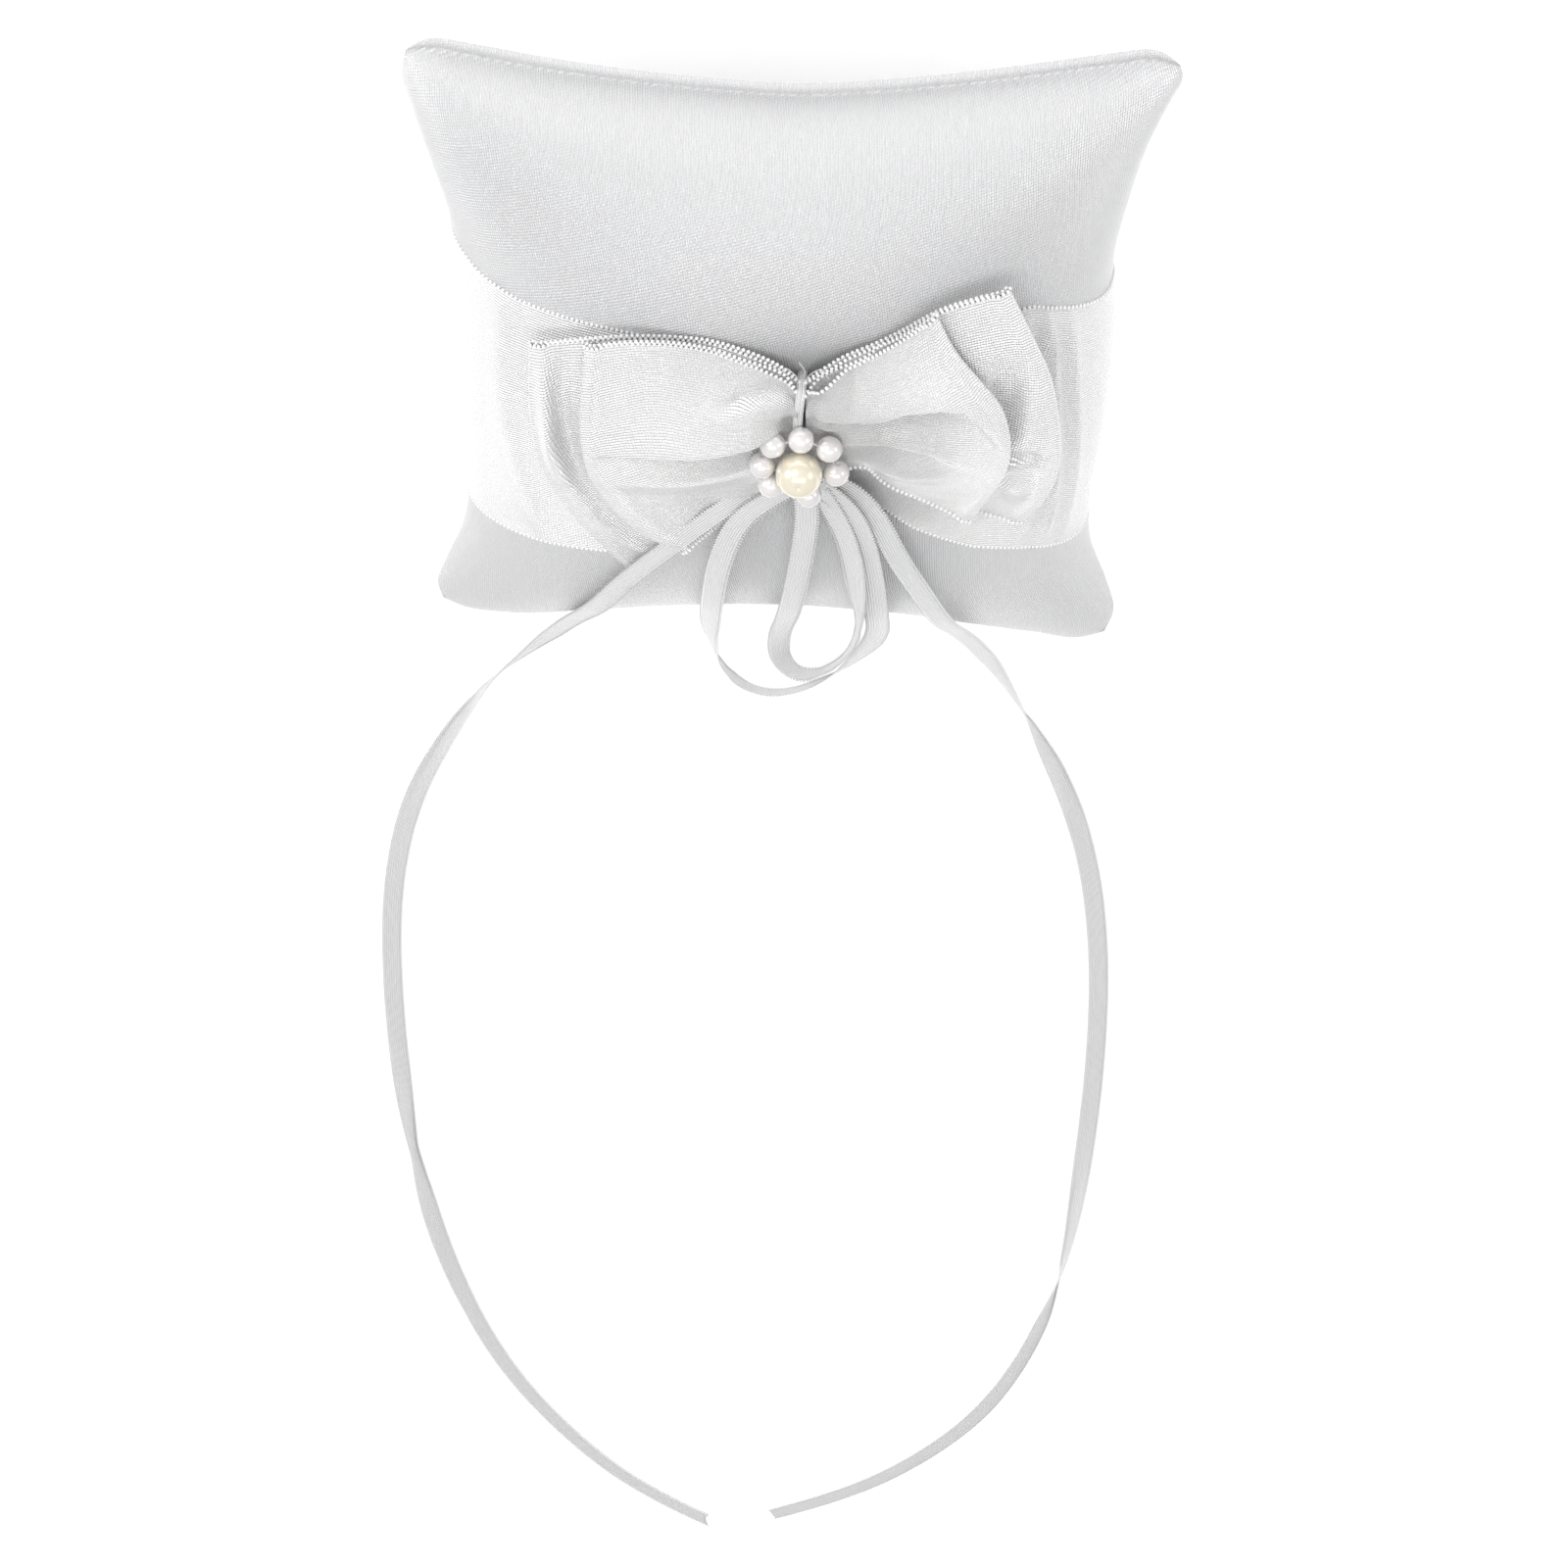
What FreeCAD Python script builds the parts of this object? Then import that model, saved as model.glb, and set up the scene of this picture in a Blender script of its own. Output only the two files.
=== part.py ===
import FreeCAD, Part
import math
import os
from FreeCAD import Vector

# Ring bearer pillow, lying on its back with the bow up. Millimetres, +Z up.
# The origin is on the resting plane, under the middle of the pillow. +Y is the
# edge that was left open for filling and then closed by hand. The ribbon tails
# lie on the same plane, towards -Y.

# --- driving dimensions ---
CORNER = 49.0                 # pillow corner, from the middle, along X and Y
SIDE_PULL_IN = 5.5            # how far each side edge is drawn in, half way along
TOP_PULL_IN = 4.5
BOTTOM_PULL_IN = 4.5
SEAM_HEIGHT = 17.0            # seam above the resting plane, half way along a side
CORNER_DROOP = 6.0            # how much lower the seam lies at the corners
FRONT_CROWN = 19.5            # fullness above the seam
BACK_CROWN = 22.0             # fullness below the seam, before it rests flat
BACK_BULGE = 1.8              # the back panel stands past the closing seam
DIMPLE_DEPTH = 8.5            # the middle of the front is stitched down
DIMPLE_SPREAD = 9.0
CLOTH = 0.6                   # satin with its turned allowance, at the crown
SEAM_ALLOWANCE = 2.0          # width of the land where the two panels meet
FILL_GAP = 0.5
FILL_INSET = 3.4              # the fill stops this far inside the seam
FLOOR_CLOTH = 1.4             # back panel over the resting plane, sash groove included

SASH_GAP = 0.4                # sash to pillow
SASH_THICK = 0.4
SASH_GROOVE = 0.9             # depth of the groove that the sash presses into the back
SASH_CENTRE_Y = -5.0          # middle of the sash at the sides and the back
SASH_HALF_SIDE = 21.5         # half of the 42 mm ribbon and its slack
SASH_HALF_GATHERED = 8.0      # half width where it is gathered under the bow
SASH_GATHER_Y = 1.0
SASH_GROOVE_MARGIN = 0.5      # how far the groove reaches past the sash's edges
SASH_STITCHES = 9
SASH_STITCH_HALF = 1.5        # half the length of a stitch over the sash's joint
SASH_STITCH_SLANT = 0.8

BOW_X = 2.8                   # the bow sits a little right of the middle
BOW_CLOTH = 0.4
BOW_LOOP_GAP = 1.5            # air inside one flattened loop
BOW_LOWER_REACH = 33.0        # fold of the lower bow, from the pinch
BOW_UPPER_REACH = 26.0
BOW_LOWER_Z = 38.0            # underside of the lower bow over the crown
BOW_UPPER_Z = 40.8
BOW_HALF_FOLD = 20.0          # half width of a bow at its folds
BOW_HALF_PINCH = 6.0
BOW_PINCH_DROP = 5.2          # the pinch is pulled down into the dimple
BOW_Y = 1.0                   # middle of the pinch
BOW_TILT = 0.12               # the bow's right side lies further towards +Y
BOW_SLANT = 0.35              # how much shorter the loops are along their lower edge
BOW_ENDS = (-89, 269)         # the ring's two ends meet under the pinch, degrees

NARROW_WIDTH = 3.3            # narrow ribbon of the loops, tails and tie
TIE_WIDTH = 3.0
TIE_THICK = 0.5
TIE_GAP = 0.3                 # tie to bow, above and below
TIE_SIDE_GAP = 1.2            # tie to bow, at the pinch's two edges
TIE_EDGE = 0.45               # rounding of the tie's turns
KNOT_SIZE = Vector(15.4, 4.6, 4.6)
KNOT_CENTRE = Vector(3.0, -10.6, 36.1)
KNOT_EDGE = 0.4

PEARL_LARGE = 6.2
PEARL_SMALL = 3.5
PEARL_RING_CENTRE = Vector(2.8, 1.8, 40.7)
PEARL_LARGE_RISE = 1.4        # large pearl above the ring of small ones
PEARL_RING = [(43, 5.2), (89, 4.9), (133, 5.3), (178, 4.9), (221, 4.9), (286, 4.9), (352, 4.9)]
PEARL_HOLE = 0.7
NYLON = 0.3
NYLON_CLEAR = 0.5             # the strand leaves the large pearl by this much before it turns

THREAD = 0.3
STITCH_PITCH = 3.4
STITCH_LENGTH = 2.3
SEAM_STITCH_END = 6.0         # where the machine seam stops, from the corner
CLOSING_STITCH_END = 4.0
TACK_HALF = 1.2               # half the distance between the tack's two legs
TACK_FLOOR = 23.5             # height of the thread between the legs
TACK_HEIGHT = 6.4
TACK_CLEARANCE = 0.6
TACK_POCKET = Vector(6, 3, 12)    # room in the fill round the tack
TACK_POCKET_FLOOR = 20.5

PANEL_NET = 25                # control points along each side of a panel
SASH_NET = 13                 # control points across the sash

# Routes of the narrow ribbon, as the corners of straight runs.
LOOP_LARGE = [
    (-2.6, -12.9, 36.1), (-2.6, -17.9, 36.1), (-4.8, -24.0, 37.0), (-7.8, -32.0, 36.6), (-9.6, -42.5, 32.2),
    (-10.4, -50.5, 21.8), (-10.4, -59.0, 11.4), (-9.6, -68.0, 4.4), (-6.6, -76.5, 1.8),
    (-0.6, -82.4, 1.8), (7.0, -82.0, 1.8), (12.6, -75.5, 1.9), (15.0, -66.5, 5.0),
    (15.4, -57.0, 12.4), (15.2, -49.0, 22.8), (14.6, -41.5, 32.8), (13.2, -32.0, 36.6),
    (10.8, -24.0, 37.0), (8.6, -17.9, 36.1),
    (8.6, -12.9, 36.1)]
LOOP_SMALL = [
    (1.1, -12.9, 36.1), (1.1, -17.9, 36.1), (0.9, -24.5, 37.2), (0.3, -32.0, 36.8), (-1.2, -42.0, 31.8),
    (-2.8, -50.0, 22.4), (-3.8, -58.0, 12.6), (-3.4, -66.0, 6.0), (0.0, -72.0, 3.2),
    (5.2, -72.6, 3.0), (9.0, -67.0, 4.6), (10.6, -59.0, 10.8), (10.9, -51.5, 19.6),
    (10.6, -43.5, 30.0), (9.4, -33.5, 36.2), (7.2, -24.5, 37.4), (4.8, -17.9, 36.1),
    (4.8, -12.9, 36.1)]
TAIL_LEFT = [
    (-4.7, -10.6, 36.1), (-9.2, -10.6, 36.1), (-11.8, -17.0, 36.6), (-16.6, -27.5, 35.6), (-23.5, -37.5, 31.6),
    (-29.5, -47.5, 24.6), (-34.5, -58.0, 12.8), (-39.0, -69.0, 4.6), (-44.5, -81.5, 1.8),
    (-52.0, -96.0, 1.8), (-58.5, -113.0, 1.8), (-62.0, -134.0, 1.8), (-63.6, -159.0, 1.8),
    (-63.4, -188.0, 1.8), (-61.6, -217.0, 1.8), (-57.0, -247.0, 1.8), (-48.0, -277.0, 1.8),
    (-34.0, -303.0, 1.8), (-20.0, -320.0, 1.8), (-8.0, -329.0, 1.8)]
TAIL_RIGHT = [
    (10.7, -10.6, 36.1), (15.2, -10.6, 36.1), (17.4, -16.5, 37.0), (20.0, -27.0, 36.4), (23.0, -38.0, 31.4),
    (27.0, -48.0, 23.6), (31.5, -58.5, 12.0), (36.0, -70.5, 4.2), (41.0, -84.5, 1.8),
    (46.8, -101.0, 1.8), (51.6, -121.0, 1.8), (55.2, -145.0, 1.8), (56.6, -172.0, 1.8),
    (56.8, -201.0, 1.8), (56.4, -230.0, 1.8), (53.0, -258.0, 1.8), (45.0, -283.0, 1.8),
    (33.0, -302.0, 1.8), (18.0, -317.0, 1.8), (4.0, -325.0, 1.8)]


# --- cloth nets and solids ---
def spline_surface(net, degree_u=3, degree_v=3):
    """A surface whose control points are the rows of net."""
    def ends(count, degree):
        inner = count - degree - 1
        return [degree + 1] + [1] * inner + [degree + 1]
    surface = Part.BSplineSurface()
    mults_u = ends(len(net), degree_u)
    mults_v = ends(len(net[0]), degree_v)
    surface.buildFromPolesMultsKnots(net, mults_u, mults_v, range(len(mults_u)), range(len(mults_v)),
                                     False, False, degree_u, degree_v)
    return surface


def spline_face(net, degree_u=3, degree_v=3):
    return spline_surface(net, degree_u, degree_v).toShape()


def sewn_solid(faces):
    """A solid from faces that share their edges, with its skin facing outwards."""
    shell = Part.Shell(faces)
    shell.sewShape()
    solid = Part.Solid(Part.Shell(shell.Faces))
    if solid.Volume < 0:
        shell.reverse()
        solid = Part.Solid(shell)
    return solid


def sheet_solid(outer, inner):
    """A closed sheet between two nets of the same size, with straight walls round its rim."""
    faces = [spline_face(outer), spline_face(inner)]
    for pick in (lambda net: net[0], lambda net: net[-1],
                 lambda net: [row[0] for row in net], lambda net: [row[-1] for row in net]):
        faces.append(spline_face([pick(outer), pick(inner)], degree_u=1))
    return sewn_solid(faces)


def steps(first, last, count):
    return [first + (last - first) * i / (count - 1) for i in range(count)]


# --- the pillow's own form ---
def pillow_point(across, along, front, inset=0.0, thinner=0.0):
    """A point of a panel. across and along run from -90 to 90 degrees, seam to seam."""
    sin_x, cos_x = math.sin(across), max(0.0, math.cos(across))
    sin_y, cos_y = math.sin(along), max(0.0, math.cos(along))
    pull_y = TOP_PULL_IN if along > 0 else BOTTOM_PULL_IN
    x = sin_x * (CORNER - inset - SIDE_PULL_IN * cos_y)
    y = sin_y * (CORNER - inset - pull_y * cos_x)
    seam = SEAM_HEIGHT - CORNER_DROOP * (sin_x * sin_y) ** 4
    if front:
        dimple = DIMPLE_DEPTH * math.exp(-((x - BOW_X) ** 2 + y ** 2) / (2 * DIMPLE_SPREAD ** 2))
        z = seam + (FRONT_CROWN - thinner) * (cos_x * cos_y) ** 0.85 - dimple * cos_x * cos_y
    else:
        y += BACK_BULGE * cos_x * math.sin(2 * max(0.0, along)) ** 2
        z = seam - (BACK_CROWN - thinner) * (cos_x * cos_y) ** 0.5
    return Vector(x, y, z)


def panel_net(front, inset=0.0, thinner=0.0, floor=-0.5):
    net = []
    for across in steps(-math.pi / 2, math.pi / 2, PANEL_NET):
        row = [pillow_point(across, along, front, inset, thinner)
               for along in steps(-math.pi / 2, math.pi / 2, PANEL_NET)]
        net.append([Vector(p.x, p.y, max(p.z, floor)) for p in row])
    return net


def lifted_point(panel, share, y, lift):
    """A point over a panel at a share of its width and a given y, lifted off the cloth."""
    last = PANEL_NET - 3
    u = share * last
    low, high = 0.0, float(last)
    for halving in range(24):
        v = (low + high) / 2
        if panel.value(u, v).y < y:
            low = v
        else:
            high = v
    point = panel.value(u, v)
    if share in (0, 1):
        return point + Vector(lift if share else -lift, 0, 0)
    normal = panel.normal(u, v)
    outward = 1 if normal.dot(point - Vector(0, 0, SEAM_HEIGHT)) > 0 else -1
    return point + normal * (outward * lift)


# --- threads and cords ---
def rod(start, end, diameter):
    run = end - start
    return Part.makeCylinder(diameter / 2, run.Length, start, run)


def rounded_route(points):
    """The straight runs of a route joined by tangent arcs, and the arcs' radii."""
    corners = [Vector(*p) for p in points]
    edges, radii = [], []
    last = corners[0]
    for before, corner, after in zip(corners, corners[1:], corners[2:]):
        into, out = corner - before, after - corner
        setback = 0.45 * min(into.Length, out.Length)
        half_turn = into.getAngle(out) / 2
        radii.append(setback / math.tan(half_turn))
        into.normalize()
        out.normalize()
        start, end = corner - into * setback, corner + out * setback
        bisector = (out - into).normalize()
        middle = corner + bisector * (radii[-1] / math.cos(half_turn) - radii[-1])
        edges.append(Part.LineSegment(last, start).toShape())
        edges.append(Part.Arc(start, middle, end).toShape())
        last = end
    edges.append(Part.LineSegment(last, corners[-1]).toShape())
    return Part.Wire(edges), radii


def cord_tube(name, points):
    route, radii = rounded_route(points)
    first = Vector(*points[1]) - Vector(*points[0])
    ring = Part.Wire(Part.makeCircle(NARROW_WIDTH / 2, Vector(*points[0]), first))
    tube = route.makePipeShell([ring], True, False)
    section = math.pi * NARROW_WIDTH ** 2 / 4
    print("%s: length %.1f mm, smallest radius %.1f mm, volume / (section x length) %.4f"
          % (name, route.Length, min(radii), tube.Volume / (section * route.Length)))
    print("  radii " + " ".join("%.0f" % r for r in radii))
    return tube


# --- the pieces ---
def cover_front():
    outer = panel_net(front=True)
    inner = panel_net(front=True, inset=SEAM_ALLOWANCE, thinner=CLOTH)
    cover = sheet_solid(outer, inner)
    for hole in tack_legs(THREAD + TACK_CLEARANCE):
        cover = cover.cut(hole)
    return cover


def cover_back():
    outer = panel_net(front=False)
    inner = panel_net(front=False, inset=SEAM_ALLOWANCE, thinner=CLOTH, floor=FLOOR_CLOTH)
    under_plane = Part.makeBox(4 * CORNER, 4 * CORNER, 10, Vector(-2 * CORNER, -2 * CORNER, -10))
    groove_half = SASH_HALF_SIDE + SASH_GROOVE_MARGIN
    groove = Part.makeBox(4 * CORNER, 2 * groove_half, 10,
                          Vector(-2 * CORNER, SASH_CENTRE_Y - groove_half, SASH_GROOVE - 10))
    return sheet_solid(outer, inner).cut(under_plane).cut(groove)


def fibre_fill():
    thinner = CLOTH + FILL_GAP
    top = spline_face(panel_net(True, FILL_INSET, thinner))
    bottom = spline_face(panel_net(False, FILL_INSET, thinner, FLOOR_CLOTH + FILL_GAP))
    fill = sewn_solid([top, bottom])
    corner = Vector(BOW_X - TACK_POCKET.x / 2, -TACK_POCKET.y / 2, TACK_POCKET_FLOOR)
    return fill.cut(Part.makeBox(TACK_POCKET.x, TACK_POCKET.y, TACK_POCKET.z, corner))


def seam_stitches(along_side, turn):
    """Lockstitches inside one sewn side, just behind the allowances."""
    stitches = []
    reach = CORNER - SEAM_STITCH_END
    for i in range(int(2 * reach / STITCH_PITCH)):
        middle = -reach + (i + 0.5) * STITCH_PITCH
        ends = []
        for shift in (-STITCH_LENGTH / 2, STITCH_LENGTH / 2):
            angle = math.asin((middle + shift) / CORNER)
            inset = SEAM_ALLOWANCE + THREAD
            if along_side:
                ends.append(pillow_point(turn, angle, True, inset))
            else:
                ends.append(pillow_point(angle, turn, True, inset))
        stitches.append(rod(ends[0], ends[1], THREAD))
    return stitches


def seam_thread():
    quarter = math.pi / 2
    stitches = seam_stitches(True, quarter) + seam_stitches(True, -quarter)
    return Part.makeCompound(stitches + seam_stitches(False, -quarter))


def closing_stitches():
    """Short stitches over the front of the closing seam, a thread's width proud."""
    stitches = []
    reach = CORNER - CLOSING_STITCH_END
    for i in range(int(2 * reach / STITCH_PITCH)):
        middle = -reach + (i + 0.5) * STITCH_PITCH
        ends = []
        for shift in (-STITCH_LENGTH / 2, STITCH_LENGTH / 2):
            across = math.asin((middle + shift) / CORNER)
            edge = pillow_point(across, math.pi / 2, True)
            ends.append(edge + Vector(0, THREAD, THREAD / 2))
        stitches.append(rod(ends[0], ends[1], THREAD))
    return Part.makeCompound(stitches)


def sash_net(lift):
    """The sash from the middle of the back, round the pillow and back to it."""
    front = spline_surface(panel_net(front=True))
    back = spline_surface(panel_net(front=False, floor=0.0))
    stations = [(back, share) for share in steps(0.503, 1.0, 18)]
    stations += [(front, share) for share in steps(1.0, 0.0, 49)[1:-1]]
    stations += [(back, share) for share in steps(0.0, 0.497, 18)]
    lowest = 0.0 if lift > SASH_GAP else SASH_THICK
    net = []
    for panel, share in stations:
        half, middle = SASH_HALF_SIDE, SASH_CENTRE_Y
        if panel is front:
            gather = math.sin(math.pi * share) ** 4
            half += (SASH_HALF_GATHERED - SASH_HALF_SIDE) * gather
            middle += (SASH_GATHER_Y - SASH_CENTRE_Y) * gather
        row = [lifted_point(panel, share, middle + width * half, lift) for width in steps(-1, 1, SASH_NET)]
        net.append([Vector(p.x, p.y, max(p.z, lowest)) for p in row])
    return net


def sash_ribbon():
    sash = sheet_solid(sash_net(SASH_GAP + SASH_THICK), sash_net(SASH_GAP))
    for hole in tack_legs(THREAD + TACK_CLEARANCE):
        sash = sash.cut(hole)
    return sash


def sash_stitches():
    """The sash's two ends are caught together over the middle of the back."""
    height = SASH_THICK + THREAD / 2 + 0.03
    stitches = []
    for i in range(SASH_STITCHES):
        y = SASH_CENTRE_Y + (i - SASH_STITCHES // 2) * STITCH_PITCH
        start = Vector(-SASH_STITCH_HALF, y, height)
        end = Vector(SASH_STITCH_HALF, y + SASH_STITCH_SLANT, height)
        stitches.append(rod(start, end, THREAD))
    return Part.makeCompound(stitches)


def bow_net(reach, underside, height, smaller):
    """A ribbon ring pressed flat into two loops and pinched in the middle."""
    net = []
    first, last = BOW_ENDS
    for turn in steps(math.radians(first), math.radians(last), 41):
        share = math.cos(turn)
        spread = min(1.0, 1.1 * abs(share)) ** 2
        half = BOW_HALF_PINCH + (BOW_HALF_FOLD - BOW_HALF_PINCH) * spread
        level = height / 2 + (height / 2 - smaller) * math.sin(turn)
        drop = BOW_PINCH_DROP * math.exp(-((share * reach) ** 2) / (2 * DIMPLE_SPREAD ** 2))
        row = []
        for width in steps(-1, 1, 9):
            slant = 1.0 - BOW_SLANT * max(0.0, -width) ** 2
            x = share * (reach - smaller) * slant
            rise = BOW_TILT * max(0.0, x)
            row.append(Vector(BOW_X + x, BOW_Y + width * half + rise, underside + level - drop))
        net.append(row)
    return net


def bow_ribbon(reach, underside):
    height = BOW_LOOP_GAP + 2 * BOW_CLOTH
    return sheet_solid(bow_net(reach, underside, height, 0.0), bow_net(reach, underside, height, BOW_CLOTH))


def bow_lower_ribbon():
    return bow_ribbon(BOW_LOWER_REACH, BOW_LOWER_Z)


def bow_upper_ribbon():
    return bow_ribbon(BOW_UPPER_REACH, BOW_UPPER_Z)


def bow_tie():
    """A flat band round the pinch of both bows."""
    low = BOW_LOWER_Z - BOW_PINCH_DROP - TIE_GAP
    high = BOW_UPPER_Z + BOW_LOOP_GAP + 2 * BOW_CLOTH - BOW_PINCH_DROP + TIE_GAP
    half_y = BOW_HALF_PINCH + TIE_SIDE_GAP
    inside = Part.makeBox(TIE_WIDTH, 2 * half_y, high - low,
                          Vector(BOW_X - TIE_WIDTH / 2, BOW_Y - half_y, low))
    outside = Part.makeBox(TIE_WIDTH, 2 * (half_y + TIE_THICK), high - low + 2 * TIE_THICK,
                           Vector(BOW_X - TIE_WIDTH / 2, BOW_Y - half_y - TIE_THICK, low - TIE_THICK))
    lengthwise = [e for e in outside.Edges if abs(e.tangentAt(0).x) > 0.9]
    return outside.makeFillet(TIE_EDGE, lengthwise).cut(inside)


def tack_legs(diameter):
    """The two legs of the stitch that holds the sash and the bow down."""
    feet = [Vector(BOW_X + shift, 0, TACK_FLOOR) for shift in (-TACK_HALF, TACK_HALF)]
    return [rod(foot, foot + Vector(0, 0, TACK_HEIGHT), diameter) for foot in feet]


def tacking_thread():
    """A U of thread: down through sash and front panel, across inside, and up again."""
    left, right = tack_legs(THREAD)
    feet = [Vector(BOW_X + shift, 0, TACK_FLOOR) for shift in (-TACK_HALF, TACK_HALF)]
    corners = [Part.makeSphere(THREAD / 2, foot) for foot in feet]
    return left.multiFuse([right, rod(feet[0], feet[1], THREAD)] + corners)


# --- pearls ---
def ring_centres():
    return [PEARL_RING_CENTRE + Vector(radius * math.cos(math.radians(angle)),
                                       radius * math.sin(math.radians(angle)), 0)
            for angle, radius in PEARL_RING]


def large_pearl_centre():
    return PEARL_RING_CENTRE + Vector(0, 0, PEARL_LARGE_RISE)


def pearl_string(diameter):
    """The nylon: a ring through the small pearls and a strand over through the large one."""
    centres = ring_centres()
    top = large_pearl_centre()
    anchors = [(centres[2] + centres[3]) * 0.5, (centres[6] + centres[0]) * 0.5]
    reach = PEARL_LARGE / 2 + NYLON_CLEAR
    sides = [top + Vector(-reach, 0, 0), top + Vector(reach, 0, 0)]
    runs = list(zip(centres, centres[1:] + centres[:1]))
    runs += [(anchors[0], sides[0]), (sides[0], sides[1]), (sides[1], anchors[1])]
    rods = [rod(a, b, diameter) for a, b in runs]
    knuckles = [Part.makeSphere(diameter / 2, p) for p in centres + anchors + sides]
    return rods[0].multiFuse(rods[1:] + knuckles)


def pearl(centre, diameter):
    return Part.makeSphere(diameter / 2, centre).cut(pearl_string(PEARL_HOLE))


# --- the narrow ribbon ---
def ribbon_knot():
    knot = Part.makeBox(KNOT_SIZE.x, KNOT_SIZE.y, KNOT_SIZE.z, KNOT_CENTRE - KNOT_SIZE * 0.5)
    across = [e for e in knot.Edges if abs(e.tangentAt(0).x) > 0.9]
    return knot.makeFillet(KNOT_EDGE, across)


def main():
    os.makedirs("parts", exist_ok=True)
    parts = {
        "cover_front": cover_front(),
        "cover_back": cover_back(),
        "fibre_fill": fibre_fill(),
        "seam_thread": seam_thread(),
        "closing_stitches": closing_stitches(),
        "sash_ribbon": sash_ribbon(),
        "sash_stitches": sash_stitches(),
        "bow_lower_ribbon": bow_lower_ribbon(),
        "bow_upper_ribbon": bow_upper_ribbon(),
        "bow_tie": bow_tie(),
        "tacking_thread": tacking_thread(),
        "pearl_large": pearl(large_pearl_centre(), PEARL_LARGE),
        "pearl_thread": pearl_string(NYLON),
        "ribbon_knot": ribbon_knot(),
        "ribbon_loop_large": cord_tube("ribbon_loop_large", LOOP_LARGE),
        "ribbon_loop_small": cord_tube("ribbon_loop_small", LOOP_SMALL),
        "ribbon_tail_left": cord_tube("ribbon_tail_left", TAIL_LEFT),
        "ribbon_tail_right": cord_tube("ribbon_tail_right", TAIL_RIGHT),
    }
    for number, centre in enumerate(ring_centres(), start=1):
        parts["pearl_small_%d" % number] = pearl(centre, PEARL_SMALL)
    for name, shape in parts.items():
        box = shape.optimalBoundingBox(False)
        print("%-18s valid %s solids %d volume %.1f  x %.1f..%.1f  y %.1f..%.1f  z %.2f..%.2f"
              % (name, shape.isValid(), len(shape.Solids), shape.Volume,
                 box.XMin, box.XMax, box.YMin, box.YMax, box.ZMin, box.ZMax))
        shape.exportStep("parts/%s.step" % name)


main()
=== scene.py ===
import math

import bpy
import numpy as np
from mathutils import Matrix, Vector
from mathutils.bvhtree import BVHTree


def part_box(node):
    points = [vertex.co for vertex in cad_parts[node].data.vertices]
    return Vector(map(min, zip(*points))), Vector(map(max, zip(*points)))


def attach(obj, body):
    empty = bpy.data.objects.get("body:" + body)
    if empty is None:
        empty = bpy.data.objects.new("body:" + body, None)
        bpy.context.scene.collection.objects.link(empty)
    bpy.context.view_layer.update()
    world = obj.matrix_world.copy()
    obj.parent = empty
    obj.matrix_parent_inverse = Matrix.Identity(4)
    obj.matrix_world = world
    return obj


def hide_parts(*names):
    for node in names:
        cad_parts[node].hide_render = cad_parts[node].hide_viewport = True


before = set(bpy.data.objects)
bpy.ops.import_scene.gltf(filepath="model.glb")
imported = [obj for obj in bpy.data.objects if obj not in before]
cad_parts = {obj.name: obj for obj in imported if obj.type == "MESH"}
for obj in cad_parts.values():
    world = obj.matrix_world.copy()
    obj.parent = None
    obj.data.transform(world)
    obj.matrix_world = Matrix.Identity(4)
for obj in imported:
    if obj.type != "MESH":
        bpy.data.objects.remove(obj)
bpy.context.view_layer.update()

# A small satin ring pillow on its back, with a ribbon sash, a double bow, pearls and long ribbon tails.
# Shapes are worked out in millimetres and turned into metres when a mesh is made.
MM = 0.001

WIDE_RIBBON = 43.0  # width of the sash and bow ribbon
NARROW_RIBBON = 3.3  # width of the tie ribbon with its looped edges
WIDE_PICOT = 0.68  # spacing of the loops along the wide ribbon's edges
NARROW_PICOT = 0.52
PICOT_OUT, PICOT_UP = 0.10, 0.04  # how far a loop's middle stands out from the edge and above the face
PICOT_RADII = (0.26, 0.33, 0.24)  # a wide ribbon's loop, along the edge, outwards and upwards
SELVEDGE = 0.5  # width that the narrow ribbon's looped edges take up
COVER_WEAVE = 0.33  # spacing of the cover's twill lines
RIBBON_WEAVE = 0.39  # spacing of the wide ribbon's warp lines
NARROW_WEAVE = 0.36
TAU = 2 * math.pi


# ---------------- geometry helpers

def unit(vectors):
    return vectors / (np.linalg.norm(vectors, axis=-1, keepdims=True) + 1e-12)


def arc_lengths(line):
    steps = np.linalg.norm(np.diff(line, axis=0), axis=1)
    return np.concatenate([[0.0], np.cumsum(steps)])


def evenly(line, count):
    """Points at even spacing along a dense line."""
    arc = arc_lengths(line)
    where = np.linspace(0, arc[-1], count)
    return np.stack([np.interp(where, arc, line[:, k]) for k in range(line.shape[1])], -1)


def smooth_line(points, count):
    """A smooth curve through given points, read at even spacing."""
    p = np.array(points, float)
    knots = arc_lengths(p)
    slopes = np.gradient(p, knots, axis=0)
    fine = np.linspace(0, knots[-1], 40 * len(p))
    span = np.clip(np.searchsorted(knots, fine, side="right") - 1, 0, len(p) - 2)
    width = (knots[span + 1] - knots[span])[:, None]
    w = (fine - knots[span])[:, None] / width
    start, end = p[span], p[span + 1]
    line = (1 + 2 * w) * (1 - w) ** 2 * start + w * w * (3 - 2 * w) * end
    line += width * w * (1 - w) * ((1 - w) * slopes[span] - w * slopes[span + 1])
    return evenly(line, count)


def smooth_step(x):
    x = np.clip(x, 0, 1)
    return x * x * (3 - 2 * x)


def waves(u, v, seed, most):
    """Smooth noise of about unit size from a dozen sine waves."""
    rng = np.random.default_rng(seed)
    total = np.zeros_like(u)
    for _ in range(12):
        a = rng.uniform(-most, most, 2)
        total += np.sin(a[0] * u + a[1] * v + rng.uniform(0, TAU))
    return total / 12 ** 0.5


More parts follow.
